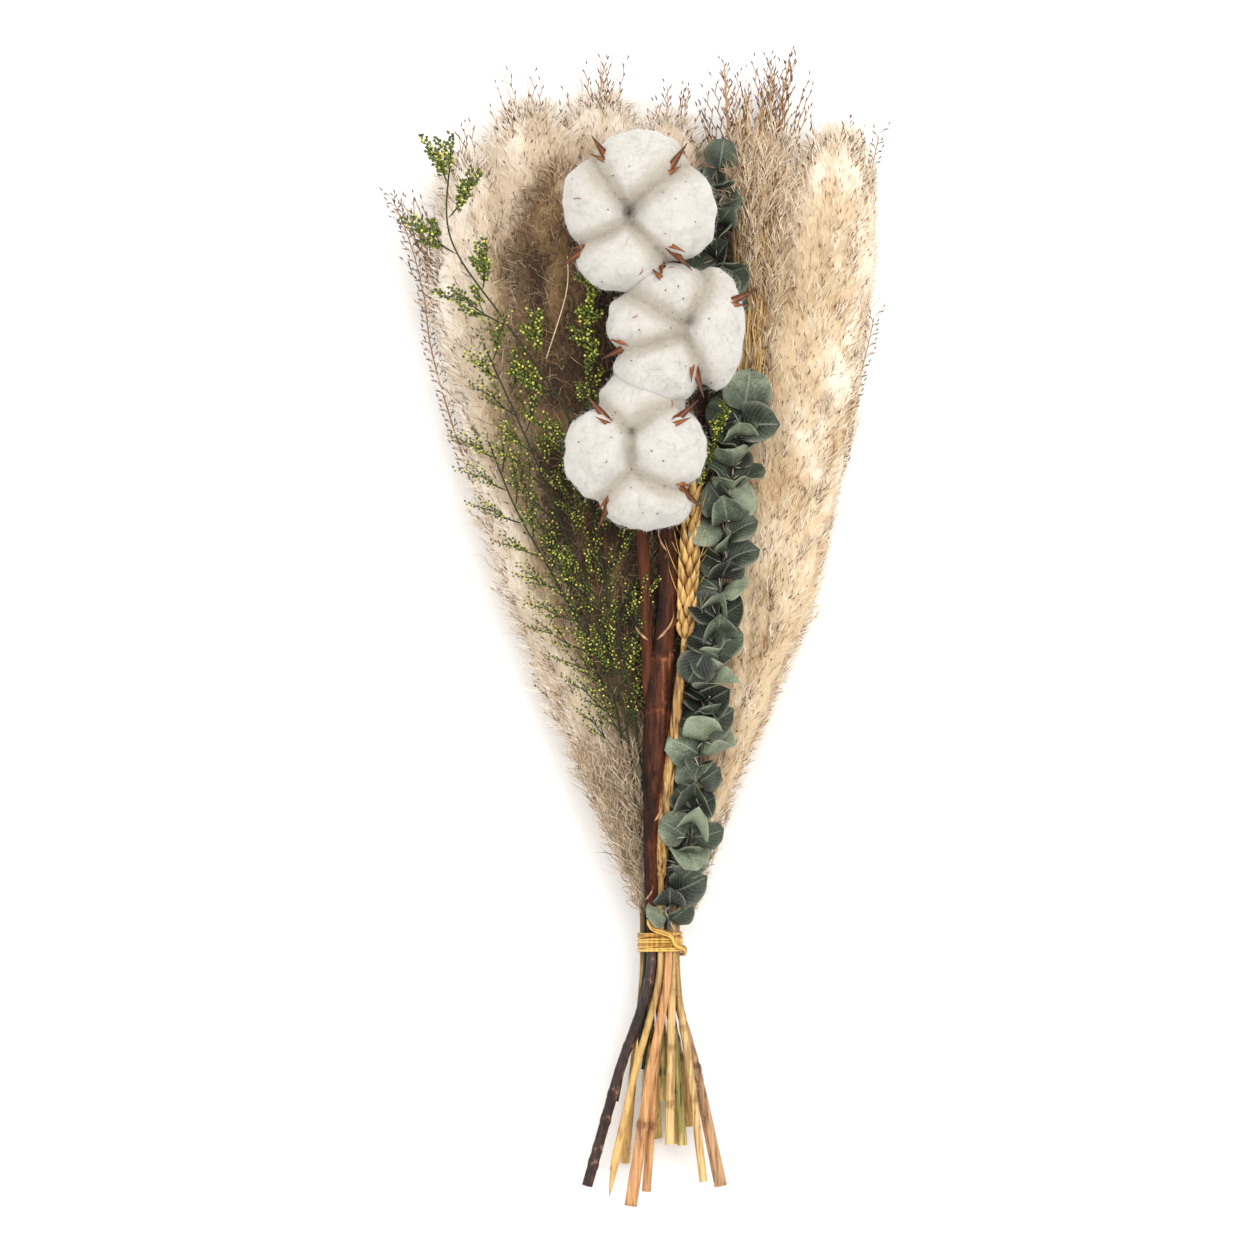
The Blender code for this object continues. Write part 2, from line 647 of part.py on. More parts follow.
def make_statice(name, first_y, branches, reach, fuller_side):
    """A wiry spray: side twigs in a flat fan, lifted clear of what lies below, and their florets."""
    course = courses[name]
    repeats = []
    for k in range(branches):
        share = k / branches
        y = first_y + (course.tip_y - first_y) * share
        node, ahead = course.at(y), course.heading(y)
        turn = 1 if k % 2 else -1
        length = reach * (1.0 - 0.55 * share) * rng.uniform(0.8, 1.15)
        aside = across(ahead)[0] * turn * (0.7 if turn == fuller_side else 0.45)
        lift = rng.uniform(-0.05, 0.22)
        for lifted in TWIG_LIFTS:
            way = (ahead + aside + UP * (lift + lifted)).normalized()
            twig = spindle(node - way * 1.2, node + way * length, TWIG_RADIUS, fattest=0.25)
            if is_clear(twig, name):
                repeats += [twig, *florets(node, way, length, name)]
                break
            twig.free()
    tip_y = course.tip_y - 1.0
    repeats += florets(course.at(tip_y), -course.heading(tip_y), 12.0, name)
    fuse(name, trunk(name), repeats, "statice")


def shape_of(name, y):
    """How far a plume reaches from its axis at this Y."""
    head_y, reach, _, _ = PLUMES[name]
    share = (y - head_y) / (courses[name].tip_y - head_y)
    if not 0.0 <= share <= 1.0:
        return 0.0
    widening = min(1.0, (share / 0.5) ** 0.75)
    narrowing = 1.0 - 0.6 * max(0.0, (share - 0.72) / 0.28) ** 1.6
    return max(1.5, reach * widening * narrowing)


def plume_room():
    """Sample points along every plume with its reach there, to share the room between neighbours."""
    room = {}
    for name, (head_y, *_) in PLUMES.items():
        samples = []
        for y in spread_values(head_y, courses[name].tip_y, 4.0):
            samples.append((courses[name].at(y), shape_of(name, y) + 2.0))
        room[name] = samples
    return room


def in_own_room(point, half_width, name, room):
    """Whether a point lies nearer its own plume than any other, for their sizes."""
    nearest = {}
    for other, samples in room.items():
        shift = 0.0 if other == name else -half_width
        nearest[other] = min(((point - place).length + shift) / weight for place, weight in samples)
    own = nearest.pop(name)
    return own < min(nearest.values())


def core_radius(name, y):
    """The radius of a head's core, kept clear of the neighbouring axes."""
    here = courses[name].at(y)
    spare = min((courses[other].at(y) - here).length for other in courses
                if other != name and y < courses[other].tip_y)
    return max(CORE_LEAST, min(CORE_SHARE * shape_of(name, y), CORE_SPARE * spare - GAP))


def make_plume(name, room):
    """A plume head: a core with tufts that stand out of it, as far as the plume's own room allows."""
    head_y, reach, tufts, finish = PLUMES[name]
    course = courses[name]
    repeats = []
    for k in range(tufts):
        y = head_y + 3.0 + (course.tip_y - head_y - 8.0) * (k + 0.5) / tufts
        axis, ahead = course.at(y), course.heading(y)
        turn = k * GOLDEN_ANGLE + rng.uniform(-0.3, 0.3)
        rise = min(16.0 + 1.2 * reach, max(8.0, course.tip_y - y + 1.0))
        wide = shape_of(name, min(y + rise, course.tip_y)) * rng.uniform(0.86, 1.0)
        for scale, swing in TUFT_TRIES:
            out = outward(ahead, turn + swing)
            tip = axis + ahead * rise * (0.35 + 0.65 * scale) + out * wide * scale
            half_width = TUFT_HALF_WIDTH * (0.55 + 0.45 * scale)
            bow = out * TUFT_BOW * rise * scale
            tuft = spindle(axis - ahead * TUFT_ROOT, tip, half_width, bow)
            for v in tuft.verts:
                v.co.z = max(v.co.z, 0.0)
            inside = all(in_own_room(axis.lerp(tip, s) + bow * s, half_width * w, name, room)
                         for s, w in ((0.45, 1.0), (0.75, 0.5), (1.0, 0.0)))
            if inside and is_clear(tuft, name):
                repeats.append(tuft)
                break
            tuft.free()
    fuse(name, core(name), repeats, finish)


def main():
    for obj in list(bpy.data.objects):
        bpy.data.objects.remove(obj)
    bunch = bpy.data.objects.new("bunch", None)
    bpy.context.scene.collection.objects.link(bunch)
    keep_room()
    make_tie()
    make_plume_stalks()
    make_cotton()
    make_wheat()
    make_eucalyptus("eucalyptus_front", first_y=-112.0, last_y=102.0, pairs=18)
    make_eucalyptus("eucalyptus_back", first_y=100.0, last_y=185.0, pairs=6)
    make_statice("statice_lower", first_y=-60.0, branches=8, reach=27.0, fuller_side=-1)
    make_statice("statice_middle", first_y=-50.0, branches=9, reach=29.0, fuller_side=1)
    make_statice("statice_upper", first_y=-20.0, branches=10, reach=29.0, fuller_side=1)
    room = plume_room()
    for name in PLUMES:
        make_plume(name, room)
    for obj in bpy.context.scene.collection.all_objects:
        if obj.type == "MESH":
            obj.parent = bunch


main()
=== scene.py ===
"""The looks of a dried bouquet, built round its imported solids: silky plumes, cotton bolls, eucalyptus,
green statice, wheat and a raffia tie. +Y runs towards the plume tips and +Z up from the table. Lengths
are in millimetres, and MM turns them into Blender's metres."""

import math
from collections import namedtuple
from functools import cache

import bmesh
import bpy
import numpy as np
from mathutils import Matrix, Vector, noise
from mathutils.bvhtree import BVHTree


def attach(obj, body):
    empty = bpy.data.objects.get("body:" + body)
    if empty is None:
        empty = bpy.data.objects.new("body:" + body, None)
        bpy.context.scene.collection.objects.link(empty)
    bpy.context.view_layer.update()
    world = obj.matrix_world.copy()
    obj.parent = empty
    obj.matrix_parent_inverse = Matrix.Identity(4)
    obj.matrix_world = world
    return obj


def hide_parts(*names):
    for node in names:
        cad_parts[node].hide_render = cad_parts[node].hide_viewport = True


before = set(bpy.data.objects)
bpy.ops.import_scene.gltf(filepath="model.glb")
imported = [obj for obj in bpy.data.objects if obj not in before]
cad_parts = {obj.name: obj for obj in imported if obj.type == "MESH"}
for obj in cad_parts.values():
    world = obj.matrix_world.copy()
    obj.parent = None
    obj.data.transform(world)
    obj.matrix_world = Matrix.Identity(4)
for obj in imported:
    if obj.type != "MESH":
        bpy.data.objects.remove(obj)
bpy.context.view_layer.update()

MM = 0.001
SEED = 11
GOLDEN_ANGLE = math.radians(137.508)
UP = np.array((0.0, 0.0, 1.0))
TABLE_CLEAR = 0.4
SENSOR = 36.0
FOCUS_FAR = 5.97
VIEW_WIDTH = 0.5016

# The driving sizes of the solids
WAIST = (10.4, -126.0, 21.0)
WAIST_GRIP = 5.5
FOOT = (10.4, -231.0, 11.0)
FOOT_SPREAD = (4.6, 2.2)
SPIRAL_TURN = math.radians(55.0)
GAP = 0.35
RAFFIA_THICK = 1.0
TIE_TURNS = 4
TIE_PITCH = 1.95
TIE_STEPS = 40
TAIL_STEPS = 44
TIE_START = math.radians(-80.0)
TAIL_SWEEP = math.radians(195.0)
TAIL_LIFTED = 0.3
TAIL_DIP = 0.8
TAIL_RISE = 6.0
FORK_RADIUS = 1.8
LOW_FORK_RADIUS = 2.3
BUR_Z = 53.0
BRACT_RISE = 15.0
LOCK_PLUMP = 1.06
LOCK_DRAWN_IN = 0.94
EAR_LOW = -5.0

# Each stalk: its place in the tie (across, up), its radius in the tie, at the cut end and at the
# top, the Y of the cut, and its way above the tie as (y, x, z), the last being its tip.
STALKS = {
    "cotton": ((-3.4, 5.9), 1.9, 2.1, 1.8, -223.8,
               [(-77, 6.8, 36), (-34, 9, 40), (11, 11.5, 43), (60, 12.5, 45), (119, 11, 46), (152, 4, 47)]),
    "wheat": ((0.2, 5.9), 1.3, 1.7, 1.0, -227.0, [(-77, 12, 37), (-5, 20, 44), (57, 23.5, 46)]),
    "eucalyptus_front": ((3.3, 5.4), 1.45, 2.6, 0.9, -231.6,
                         [(-77, 23, 36), (0, 33, 43), (60, 39, 46), (103, 47, 48)]),
    "statice_lower": ((-6.0, 2.5), 0.95, 1.2, 0.5, -190.0,
                      [(-77, -2, 27), (-25, -9, 36), (21, -32.5, 44), (47, -47, 47), (74, -58, 50)]),
    "statice_middle": ((-3.4, 2.6), 0.95, 1.2, 0.5, -178.0,
                       [(-77, 1.5, 28.5), (-29, -5, 37), (11, -18, 43), (59, -36, 48), (113, -60, 51)]),
    "statice_upper": ((-1.1, 2.9), 0.95, 1.2, 0.5, -177.0,
                      [(-77, 5, 29), (-29, -1, 37), (11, -10, 43), (83, -26, 50), (120, -50, 52),
                       (155, -73, 54), (191, -73, 56)]),
    "eucalyptus_back": ((1.5, 2.6), 1.4, 1.8, 0.9, -226.0,
                        [(-77, 15.5, 33), (27, 24, 37), (107, 31, 41), (185, 33.6, 43)]),
    "plume_stalked": ((4.8, 2.4), 1.45, 1.9, 1.2, -207.0,
                      [(-77, 18.5, 26), (27, 31, 34), (107, 41, 38), (228, 36, 36)]),
    "plume_left_edge": ((-6.6, -0.5), 1.45, 1.8, 1.2, -215.0,
                        [(-77, -6, 20.5), (27, -45, 19), (131, -74, 22), (173, -94, 27)]),
    "plume_grey": ((-3.3, -0.4), 1.45, 1.8, 1.2, -200.0,
                   [(-77, 3, 24.5), (27, -14, 33), (131, -27, 35), (190, -29, 38)]),
    "plume_top": ((0.0, -0.4), 1.45, 1.8, 1.2, -190.0,
                  [(-77, 10, 21), (27, 9, 24), (131, 12, 28), (218, 13.5, 30)]),
    "plume_tall_right": ((3.3, -0.5), 1.45, 2.0, 1.2, -207.5,
                         [(-77, 17, 18), (27, 35, 14), (131, 50, 16), (231, 57, 22)]),
    "plume_right_edge": ((6.6, -0.3), 1.45, 1.7, 1.2, -222.0,
                         [(-77, 30, 24), (27, 64, 26), (131, 83, 26), (199, 94, 28)]),
    "plume_left": ((-4.9, -3.4), 1.45, 2.4, 1.2, -205.0,
                   [(-77, -1.5, 17), (27, -32, 26), (131, -57, 28), (200, -71, 30)]),
    "plume_top_left": ((-1.7, -3.5), 1.45, 2.3, 1.2, -207.0,
                       [(-77, 2, 17), (27, -19, 17), (131, -36, 20), (224, -43, 26)]),
    "plume_centre": ((1.6, -3.5), 1.45, 2.0, 1.2, -200.0,
                     [(-77, 7, 15), (27, -2, 12), (131, -11, 14), (231.5, -13.5, 20)]),
    "plume_right": ((4.95, -3.4), 1.45, 2.7, 1.2, -224.0,
                    [(-77, 25, 19), (27, 52, 20), (131, 73, 22), (204, 84, 26)]),
}

Plume = namedtuple("Plume", "head_y reach silk straw fullness curl widest down bare_end sprigs")
# Each plume: the Y where the head starts, its widest reach, the colours of its silk and its straw, how
# full it is, how much its silk curls, the share of its length where it is at its widest, how far out
# its matted down comes, how far below the tip the down ends, and its count of bare sprigs.
PLUMES = {name: Plume(*sizes) for name, *sizes in (
    ("plume_left_edge", -110, 17, "plume_beige", "straw", 1.0, 0.3, 0.32, 0.5, 28.0, 18),
    ("plume_left", -110, 24, "plume_beige", "olive", 1.0, 0.35, 0.42, 0.78, 13.0, 15),
    ("plume_top_left", -108, 29, "plume_beige", "straw", 1.0, 0.35, 0.5, 0.98, 16.0, 15),
    ("plume_grey", -45, 26, "plume_grey", "olive", 1.0, 0.6, 0.5, 0.78, 7.0, 15),
    ("plume_centre", -104, 26, "plume_beige", "straw", 0.75, 0.3, 0.5, 0.95, 20.0, 15),
    ("plume_top", -96, 26, "plume_beige", "olive", 0.75, 0.3, 0.5, 0.9, 15.0, 22),
    ("plume_stalked", 98, 16, "plume_grey", "pale_straw", 1.1, 0.5, 0.5, 0.78, 38.0, 22),
    ("plume_tall_right", -50, 26, "plume_beige", "olive", 0.9, 0.35, 0.5, 0.78, 36.0, 34),
    ("plume_right", -108, 32, "plume_gold", "tan_straw", 1.15, 0.25, 0.5, 0.78, 7.0, 15),
    ("plume_right_edge", -106, 18, "plume_gold", "pale_straw", 0.85, 0.25, 0.4, 0.6, 17.0, 15),
)}

# Each boll: its middle (x, y) and its locks of lint as (offset, radii).
BOLLS = {
    "top": ((1.6, 166.2), [((0.8, 16.8, 19), (19, 15, 16)), ((-18, 2, 18), (12.5, 18, 15)),
                           ((15, -1.2, 20), (16, 19.5, 17)), ((-6.4, -20, 19), (18, 13, 15))]),
    "middle": ((19.2, 119.0), [((-4, 14, 19), (18, 12, 15)), ((13.2, 0, 18), (11.5, 24, 16)),
                               ((-15.6, 2, 18), (15, 14.5, 15)), ((-8.8, -16.8, 19), (18, 14, 15))]),
    "bottom": ((0.0, 69.0), [((-14.4, 0, 19), (13.2, 18, 16)), ((14, 2, 20), (14.8, 18, 17)),
                             ((5.2, -19.2, 18), (18, 11.5, 15)), ((3.6, 21.2, 17), (17, 14, 13.5))]),
}
# The bracts of each bur, as the (x, y) of their points from the boll's middle.
BRACTS = {
    "top": [(-16, 27), (17, 21), (-27, -21), (17, -22)],
    "middle": [(-30, -10), (7, -23), (26, 14), (-10, 27)],
    "bottom": [(-15, 19), (22, 17), (24, -17), (-13, -25)],
}


def unit(vectors):
    """Vectors of any count, each made one long."""
    return vectors / np.maximum(np.linalg.norm(vectors, axis=-1, keepdims=True), 1e-9)


def outward(ahead, angle):
    """The unit vectors square to these directions, at these angles round them from the side."""
    side = unit(np.cross(ahead, UP))
    angle = np.asarray(angle)[..., None]
    return np.cos(angle) * side + np.sin(angle) * unit(np.cross(side, ahead))


def arc(roots, bends, tips, steps):
    """Points along curves that leave their roots towards the bends and end at the tips."""
    t = np.linspace(0.0, 1.0, steps + 1)[:, None]
    roots, bends, tips = (ends[..., None, :] for ends in (roots, bends, tips))
    return (1 - t) ** 2 * roots + 2 * t * (1 - t) * bends + t * t * tips


def bell(values, middle, wide):
    """How near the values are to a middle, from 0 far off to 1, on a bell this wide."""
    return np.exp(-((values - middle) / wide) ** 2)


def evened(line, times):
    """A line with its bends rounded off, in place and this many times over. Its ends stay."""
    for _ in range(times):
        line[1:-1] = (line[:-2] + 2 * line[1:-1] + line[2:]) / 4
    return line


def smooth_way(points, step):
    """A line through a few points, rounded and cut into short steps, its ends doubled."""
    points = np.array(points, float)
    at = np.concatenate([[0.0], np.cumsum(np.linalg.norm(np.diff(points, axis=0), axis=1))])
    fine = np.linspace(0.0, at[-1], max(4, int(at[-1] / step)))
    line = np.stack([np.interp(fine, at, points[:, k]) for k in range(3)], axis=-1)
    return np.pad(evened(line, 6), ((1, 1), (0, 0)), "edge")


def scattered(draw, count):
    """Unit vectors that point anywhere."""
    return unit(draw.normal(size=(count, 3)))


def on_table(lines):
    """Lines with what would dip into the table lifted on it."""
    lines[..., 2] = np.maximum(lines[..., 2], TABLE_CLEAR)
    return lines


class Course:
    """A stalk's way through the bunch: straight from its cut end to the tie, then a smooth curve."""

    def __init__(self, name):
        slot, self.waist_radius, self.cut_radius, self.top_radius, self.cut_y, upper = STALKS[name]
        self.tip_y = upper[-1][0]
        self.bare_y = PLUMES[name].head_y - GAP / 2 if name in PLUMES else self.tip_y
        bottom, top = WAIST[1] - WAIST_GRIP, WAIST[1] + WAIST_GRIP
        splayed = (Matrix.Rotation(SPIRAL_TURN, 2) @ Vector(slot)) * Vector(FOOT_SPREAD)
        knots = []
        for y, share in ((FOOT[1], 1.0), ((bottom + FOOT[1]) / 2, 0.5)):
            place, middle = Vector(slot).lerp(splayed, share), Vector(WAIST).lerp(Vector(FOOT), share)
            knots.append((y, middle.x + place.x, middle.z + place.y))
        for y in (bottom, top):
            knots.append((y, WAIST[0] + slot[0], WAIST[2] + slot[1]))
        self.knots = np.array(knots + upper)
        around = np.pad(self.knots, ((1, 1), (0, 0)), "edge")
        change = around[2:] - around[:-2]
        self.slopes = change[:, 1:] / change[:, :1]
        self.slopes[2:4] = 0.0
        self.table = self.at(np.arange(self.cut_y, self.tip_y + 1.0, 1.0))

    def at(self, ys):
        """The points of the stalk at these Ys, by cubic curves through the knots."""
        ys = np.asarray(ys, float)
        k = np.clip(np.searchsorted(self.knots[:, 0], ys) - 1, 0, len(self.knots) - 2)
        low, high = self.knots[k], self.knots[k + 1]
        run = high[..., :1] - low[..., :1]
        t = (ys[..., None] - low[..., :1]) / run
        x_z = (((2 * t - 3) * t * t + 1) * low[..., 1:] + (3 - 2 * t) * t * t * high[..., 1:]
               + ((t - 2) * t + 1) * t * run * self.slopes[k] + (t - 1) * t * t * run * self.slopes[k + 1])
        return np.stack([x_z[..., 0], ys, x_z[..., 1]], axis=-1)

    def points(self, ys):
        ys = np.asarray(ys, float)
        x, y, z = self.table.T
        return np.stack([np.interp(ys, y, x), ys, np.interp(ys, y, z)], axis=-1)

    def headings(self, ys):
        ys = np.clip(ys, self.cut_y + 2.0, self.tip_y - 2.0)
        return unit(self.points(ys + 1.5) - self.points(ys - 1.5))


courses = {name: Course(name) for name in STALKS}


def rgb(code):
    """A colour as a screen gives it, in the linear values that a shader takes."""
    return (*(((c / 255 + 0.055) / 1.055) ** 2.4 for c in bytes.fromhex(code)), 1.0)


def sign(operation, swapped=False):
    """What a sign does to a Value: a Math node, with the other term first where that is swapped."""
    def use(self, *other):
        terms = (*other, self) if swapped else (self, *other)
        made = self.finish.node("ShaderNodeMath", {"operation": operation}, dict(enumerate(terms)))
        return Value(self.finish, made.outputs[0])
    return use


class Value:
    """A shader socket that takes part in sums."""

    def __init__(self, finish, socket):
        self.finish = finish
        self.socket = socket

    __add__ = __radd__ = sign("ADD")
    __sub__ = sign("SUBTRACT")
    __rsub__ = sign("SUBTRACT", swapped=True)
    __mul__ = __rmul__ = sign("MULTIPLY")
    __pow__ = sign("POWER")
    __abs__ = sign("ABSOLUTE")
    at_least = sign("MAXIMUM")
    sine = sign("SINE")


class Finish:
    """A procedural material. Its node method adds any node, with its settings set first."""

    def __init__(self, name, **shader):
        self.material = bpy.data.materials.new(name)
        self.material.use_nodes = True
        self.tree = self.material.node_tree
        self.shader = self.tree.nodes["Principled BSDF"]
        self.set(**shader)

    def set(self, **values):
        """Gives the shader's sockets constants or values, each named with _ for a space."""
        for key, value in values.items():
            self.join(self.shader.inputs[key.replace("_", " ")], value)

    def join(self, socket, value):
        value = getattr(value, "socket", value)
        if isinstance(value, bpy.types.NodeSocket):
            self.tree.links.new(value, socket)
        else:
            socket.default_value = value

    def node(self, kind, settings, sockets):
        made = self.tree.nodes.new(kind)
        for key, value in settings.items():
            setattr(made, key, value)
        for key, value in sockets.items():
            self.join(made.inputs[key], value)
        return made

    def attribute(self, name):
        return Value(self, self.node("ShaderNodeAttribute", {"attribute_name": name}, {}).outputs["Fac"])

    def noise(self, scale, stretch=(1.0, 1.0, 1.0), detail=3.0, rough=0.55):
        """Noise on Object coordinates, in features for each metre, stretched along the axes."""
        place = self.node("ShaderNodeTexCoord", {}, {}).outputs["Object"]
        turned = self.node("ShaderNodeMapping", {}, {"Vector": place, "Scale": stretch}).outputs[0]
        sockets = {"Vector": turned, "Scale": scale, "Detail": detail, "Roughness": rough}
        return Value(self, self.node("ShaderNodeTexNoise", {}, sockets).outputs["Fac"])

    def layered(self, *layers):
        """The tone of the piece, made uneven by layers of noise after their weights, and the layers."""
        shade = self.attribute("tone")
        noises = [self.noise(*layer) for _, *layer in layers]
        for (weight, *_), value in zip(layers, noises):
            shade = shade + weight * (value - 0.5)
        return shade, *noises

    def ramp(self, value, codes, places=(0.0, 1.0)):
        """Runs through colours. The places are those of all of them, or of the first and the last."""
        made = self.node("ShaderNodeValToRGB", {}, {"Fac": value})
        stops = made.color_ramp.elements
        made.color_ramp.interpolation = "EASE"
        codes = codes.split()
        for _ in codes[2:]:
            stops.new(0.5)
        at = np.interp(np.linspace(0.0, 1.0, len(codes)), np.linspace(0.0, 1.0, len(places)), places)
        for stop, place, code in zip(stops, at, codes):
            stop.position = place
            stop.color = rgb(code)
        return made.outputs["Color"]

    def mix(self, share, first, second):
        settings = {"data_type": "RGBA", "clamp_factor": True}
        return self.node("ShaderNodeMix", settings, {0: share, 6: first, 7: second}).outputs[2]

    def bump(self, height, depth, strength=0.6):
        sockets = {"Height": height, "Strength": strength, "Distance": depth * MM}
        self.set(Normal=self.node("ShaderNodeBump", {}, sockets).outputs["Normal"])


def plain_finish(name, codes, places, layers, bump, **shader):
    """A finish that runs through its colours with the tone and layers of noise, the last its relief."""
    finish = Finish(name, **shader)
    shade, *noises = finish.layered(*layers)
    finish.set(Base_Color=finish.ramp(shade, codes, places))
    if bump:
        finish.bump(noises[-1], *bump)
    return finish.material


def bark_finish():
    """Red-brown bark, streaked and ridged along the branch, with dark stains and pale scuffs."""
    finish = Finish("bark", Specular_IOR_Level=0.15)
    shade, ridges, _ = finish.layered((1.4, 500.0, (1.0, 0.1, 1.0), 5.0, 0.65),
                                      (1.0, 70.0, (1.4, 0.4, 1.0), 4.0, 0.6))
    scuffs = finish.noise(240.0, (1.0, 0.5, 1.0), 4.0, 0.7)
    colour = finish.ramp(shade, "0e0906 2e1910 562e1c 965e3e", (0.0, 0.34, 0.64, 1.0))
    finish.set(Base_Color=finish.mix((scuffs - 0.62).at_least(0.0) * 5.0, colour, rgb("86583c")),
               Roughness=0.5 + 0.3 * ridges)
    finish.bump(ridges + 0.5 * scuffs, 0.7)
    return finish.material


def bract_finish():
    """Thin woody bracts, glossy and orange-brown, darker towards their edges and points."""
    finish = Finish("bract", Roughness=0.45, Specular_IOR_Level=0.35)
    veins = finish.noise(500.0)
    shade = 0.75 - finish.attribute("along") * 0.35 - abs(finish.attribute("across")) * 0.35
    shade = shade + finish.attribute("tone") * 0.25 + 0.4 * (veins - 0.5)
    finish.set(Base_Color=finish.ramp(shade, "26140c 582e14 8e5224 c88444", (0.0, 0.4, 0.7, 1.0)))
    finish.bump(veins, 0.25)
    return finish.material


def lint_finish():
    """Cotton lint: warm white, greyer where the locks meet, which is painted shade, with fine fibres lying
    both ways.
    """
    finish = Finish("lint", Roughness=1.0, Specular_IOR_Level=0.1, Sheen_Weight=0.3, Sheen_Roughness=0.6,
                    Subsurface_Weight=0.6, Subsurface_Scale=0.003, Subsurface_Radius=(1.0, 0.9, 0.8))
    layers = [(0.16, 1500.0, lie, 4.0, 0.6) for lie in ((1.0, 0.2, 1.0), (0.2, 1.0, 1.0))]
    shade, lengthwise, crosswise, _ = finish.layered(*layers, (0.2, 90.0))
    finish.set(Base_Color=finish.ramp(shade, "70624e b0a89a cdc9c2", (0.0, 0.5, 0.85)))
    finish.bump(lengthwise + crosswise, 0.22, 0.35)
    return finish.material


def leaf_finish():
    """Preserved eucalyptus: matt grey-green with a bloom, a pale midrib and branching veins."""
    finish = Finish("eucalyptus_leaf", Roughness=0.62)
    shade, clouds, _ = finish.layered((0.7, 160.0, (1.0, 1.0, 1.0), 4.0, 0.6), (0.6, 1400.0))
    across, along = abs(finish.attribute("across")), finish.attribute("along")
    midrib = (1.0 - across * 14.0).at_least(0.0)
    veins = (0.5 + 0.5 * ((along - across * 0.55) * 44.0).sine()) ** 9.0
    colour = finish.ramp(shade + 0.25 * (along - 0.5), "12150e 404938 929a80", (0.0, 0.45, 1.0))
    rim = across ** 8.0
    for share, code in ((veins * 0.16, "8a9a86"), (rim * 0.5, "969680"), (midrib * 0.5, "9ea490")):
        colour = finish.mix(share, colour, rgb(code))
    finish.set(Base_Color=colour)
    finish.bump(veins + clouds, 0.2, 0.5)
    return finish.material


finishes = {"bark": bark_finish(), "bract": bract_finish(), "lint": lint_finish(), "leaf": leaf_finish()}
# Fine dry hair, pale at the tips and browner deep in the plume, where shade is painted into it, and matted
# down of the same colour
FELTED = (0.7, 1100.0, (1.0, 0.28, 1.0), 4.0, 0.7)
for colour, codes in (("beige", "a2896a d0bca2 f4eadc"), ("gold", "b08c62 d6be9a f6ead6"),
                      ("grey", "826646 ba9e7a ead8bc")):
    for kind, felted, bump in (("plume", [], None), ("down", [FELTED], (0.4,))):
        finishes[f"{kind}_{colour}"] = plain_finish(
            f"{kind}_{colour}", "3e2e20 " + codes, (0.0, 0.3, 0.6, 1.0), [(0.3, 90.0), *felted], bump,
            Roughness=0.9, Sheen_Weight=0.3, Specular_IOR_Level=0.2)
# Stalks with soft stains and with fine streaks along them, which are this strong
for name, codes, streak in (
        ("straw", "704c24 dcb470", 1.0), ("pale_straw", "926e3e e6c082", 1.8),
        ("tan_straw", "563c28 c4986e", 1.8), ("olive", "383c18 8c8446 dab874", 1.6),
        ("orange_stem", "7e5430 c08c5a dea874", 2.0), ("dark_stem", "1e1512 3e2c26 946e54", 1.2),
        ("grain", "825424 e4ba72", 1.0), ("sheath", "402a14 a47a42 deb876", 2.4),
        ("raffia", "96621e eec264", 1.2)):
    layers = [(0.9, 70.0, (1.0, 0.5, 1.0)), (streak * 1.2, 1000.0, (1.0, 0.05, 1.0), 4.0)]
    finishes[name] = plain_finish(name, codes, (0.05, 0.95), layers, (0.3,), Roughness=0.5,
                                  Specular_IOR_Level=0.35)
# Small and softly mottled things, with their roughness and how fine the mottle is
for name, codes, roughness, scale in (
        ("seed", "3a2214 6c4428 aa7446", 0.6, 250.0), ("twig", "785436 ba926a dec2a0", 0.6, 250.0),
        ("green_stem", "141a0c 2a3418 56622e", 0.85, 250.0), ("floret", "20260c 5e6a1e e2dc68", 0.6, 600.0),
        ("leaf_stem", "2c322c 706658 c4b8a6", 0.6, 250.0), ("dry_leaf", "3c2818 64442a 8c6644", 0.6, 250.0)):
    finishes[name] = plain_finish(name, codes, (0.0, 1.0), [(0.5, scale)], (0.2, 0.4), Roughness=roughness)


def shown(name, data):
    """A new object of the scene that shows this mesh, lamp or camera."""
    obj = bpy.data.objects.new(name, data)
    bpy.context.scene.collection.objects.link(obj)
    return obj


def triangles_of(bm):
    """The corners, their normals and the triangles of a bmesh, which is then freed."""
    bmesh.ops.recalc_face_normals(bm, faces=bm.faces)
    bmesh.ops.triangulate(bm, faces=bm.faces)
    bm.verts.index_update()
    corners, normals = np.array([v.co for v in bm.verts]), np.array([v.normal for v in bm.verts])
    faces = np.array([[v.index for v in face.verts] for face in bm.faces])
    bm.free()
    return corners, normals, faces


@cache
def bar_shape(sides, steps):
    """A closed round bar: the station along it and the side of each corner, and its faces."""
    bm = bmesh.new()
    bmesh.ops.create_uvsphere(bm, u_segments=sides, v_segments=steps, radius=1.0)
    corners, _, faces = triangles_of(bm)
    x, y, z = corners.T
    station = np.rint((1.0 - np.arccos(np.clip(z, -1.0, 1.0)) / math.pi) * steps).astype(int)
    side = np.rint(np.arctan2(y, x) / (2 * math.pi) * sides).astype(int) % sides
    return station, side, faces


def started(seed, name):
    """An empty growth, its own random draws and the course of its stalk."""
    return Growth(), np.random.default_rng(SEED + seed), courses[name]


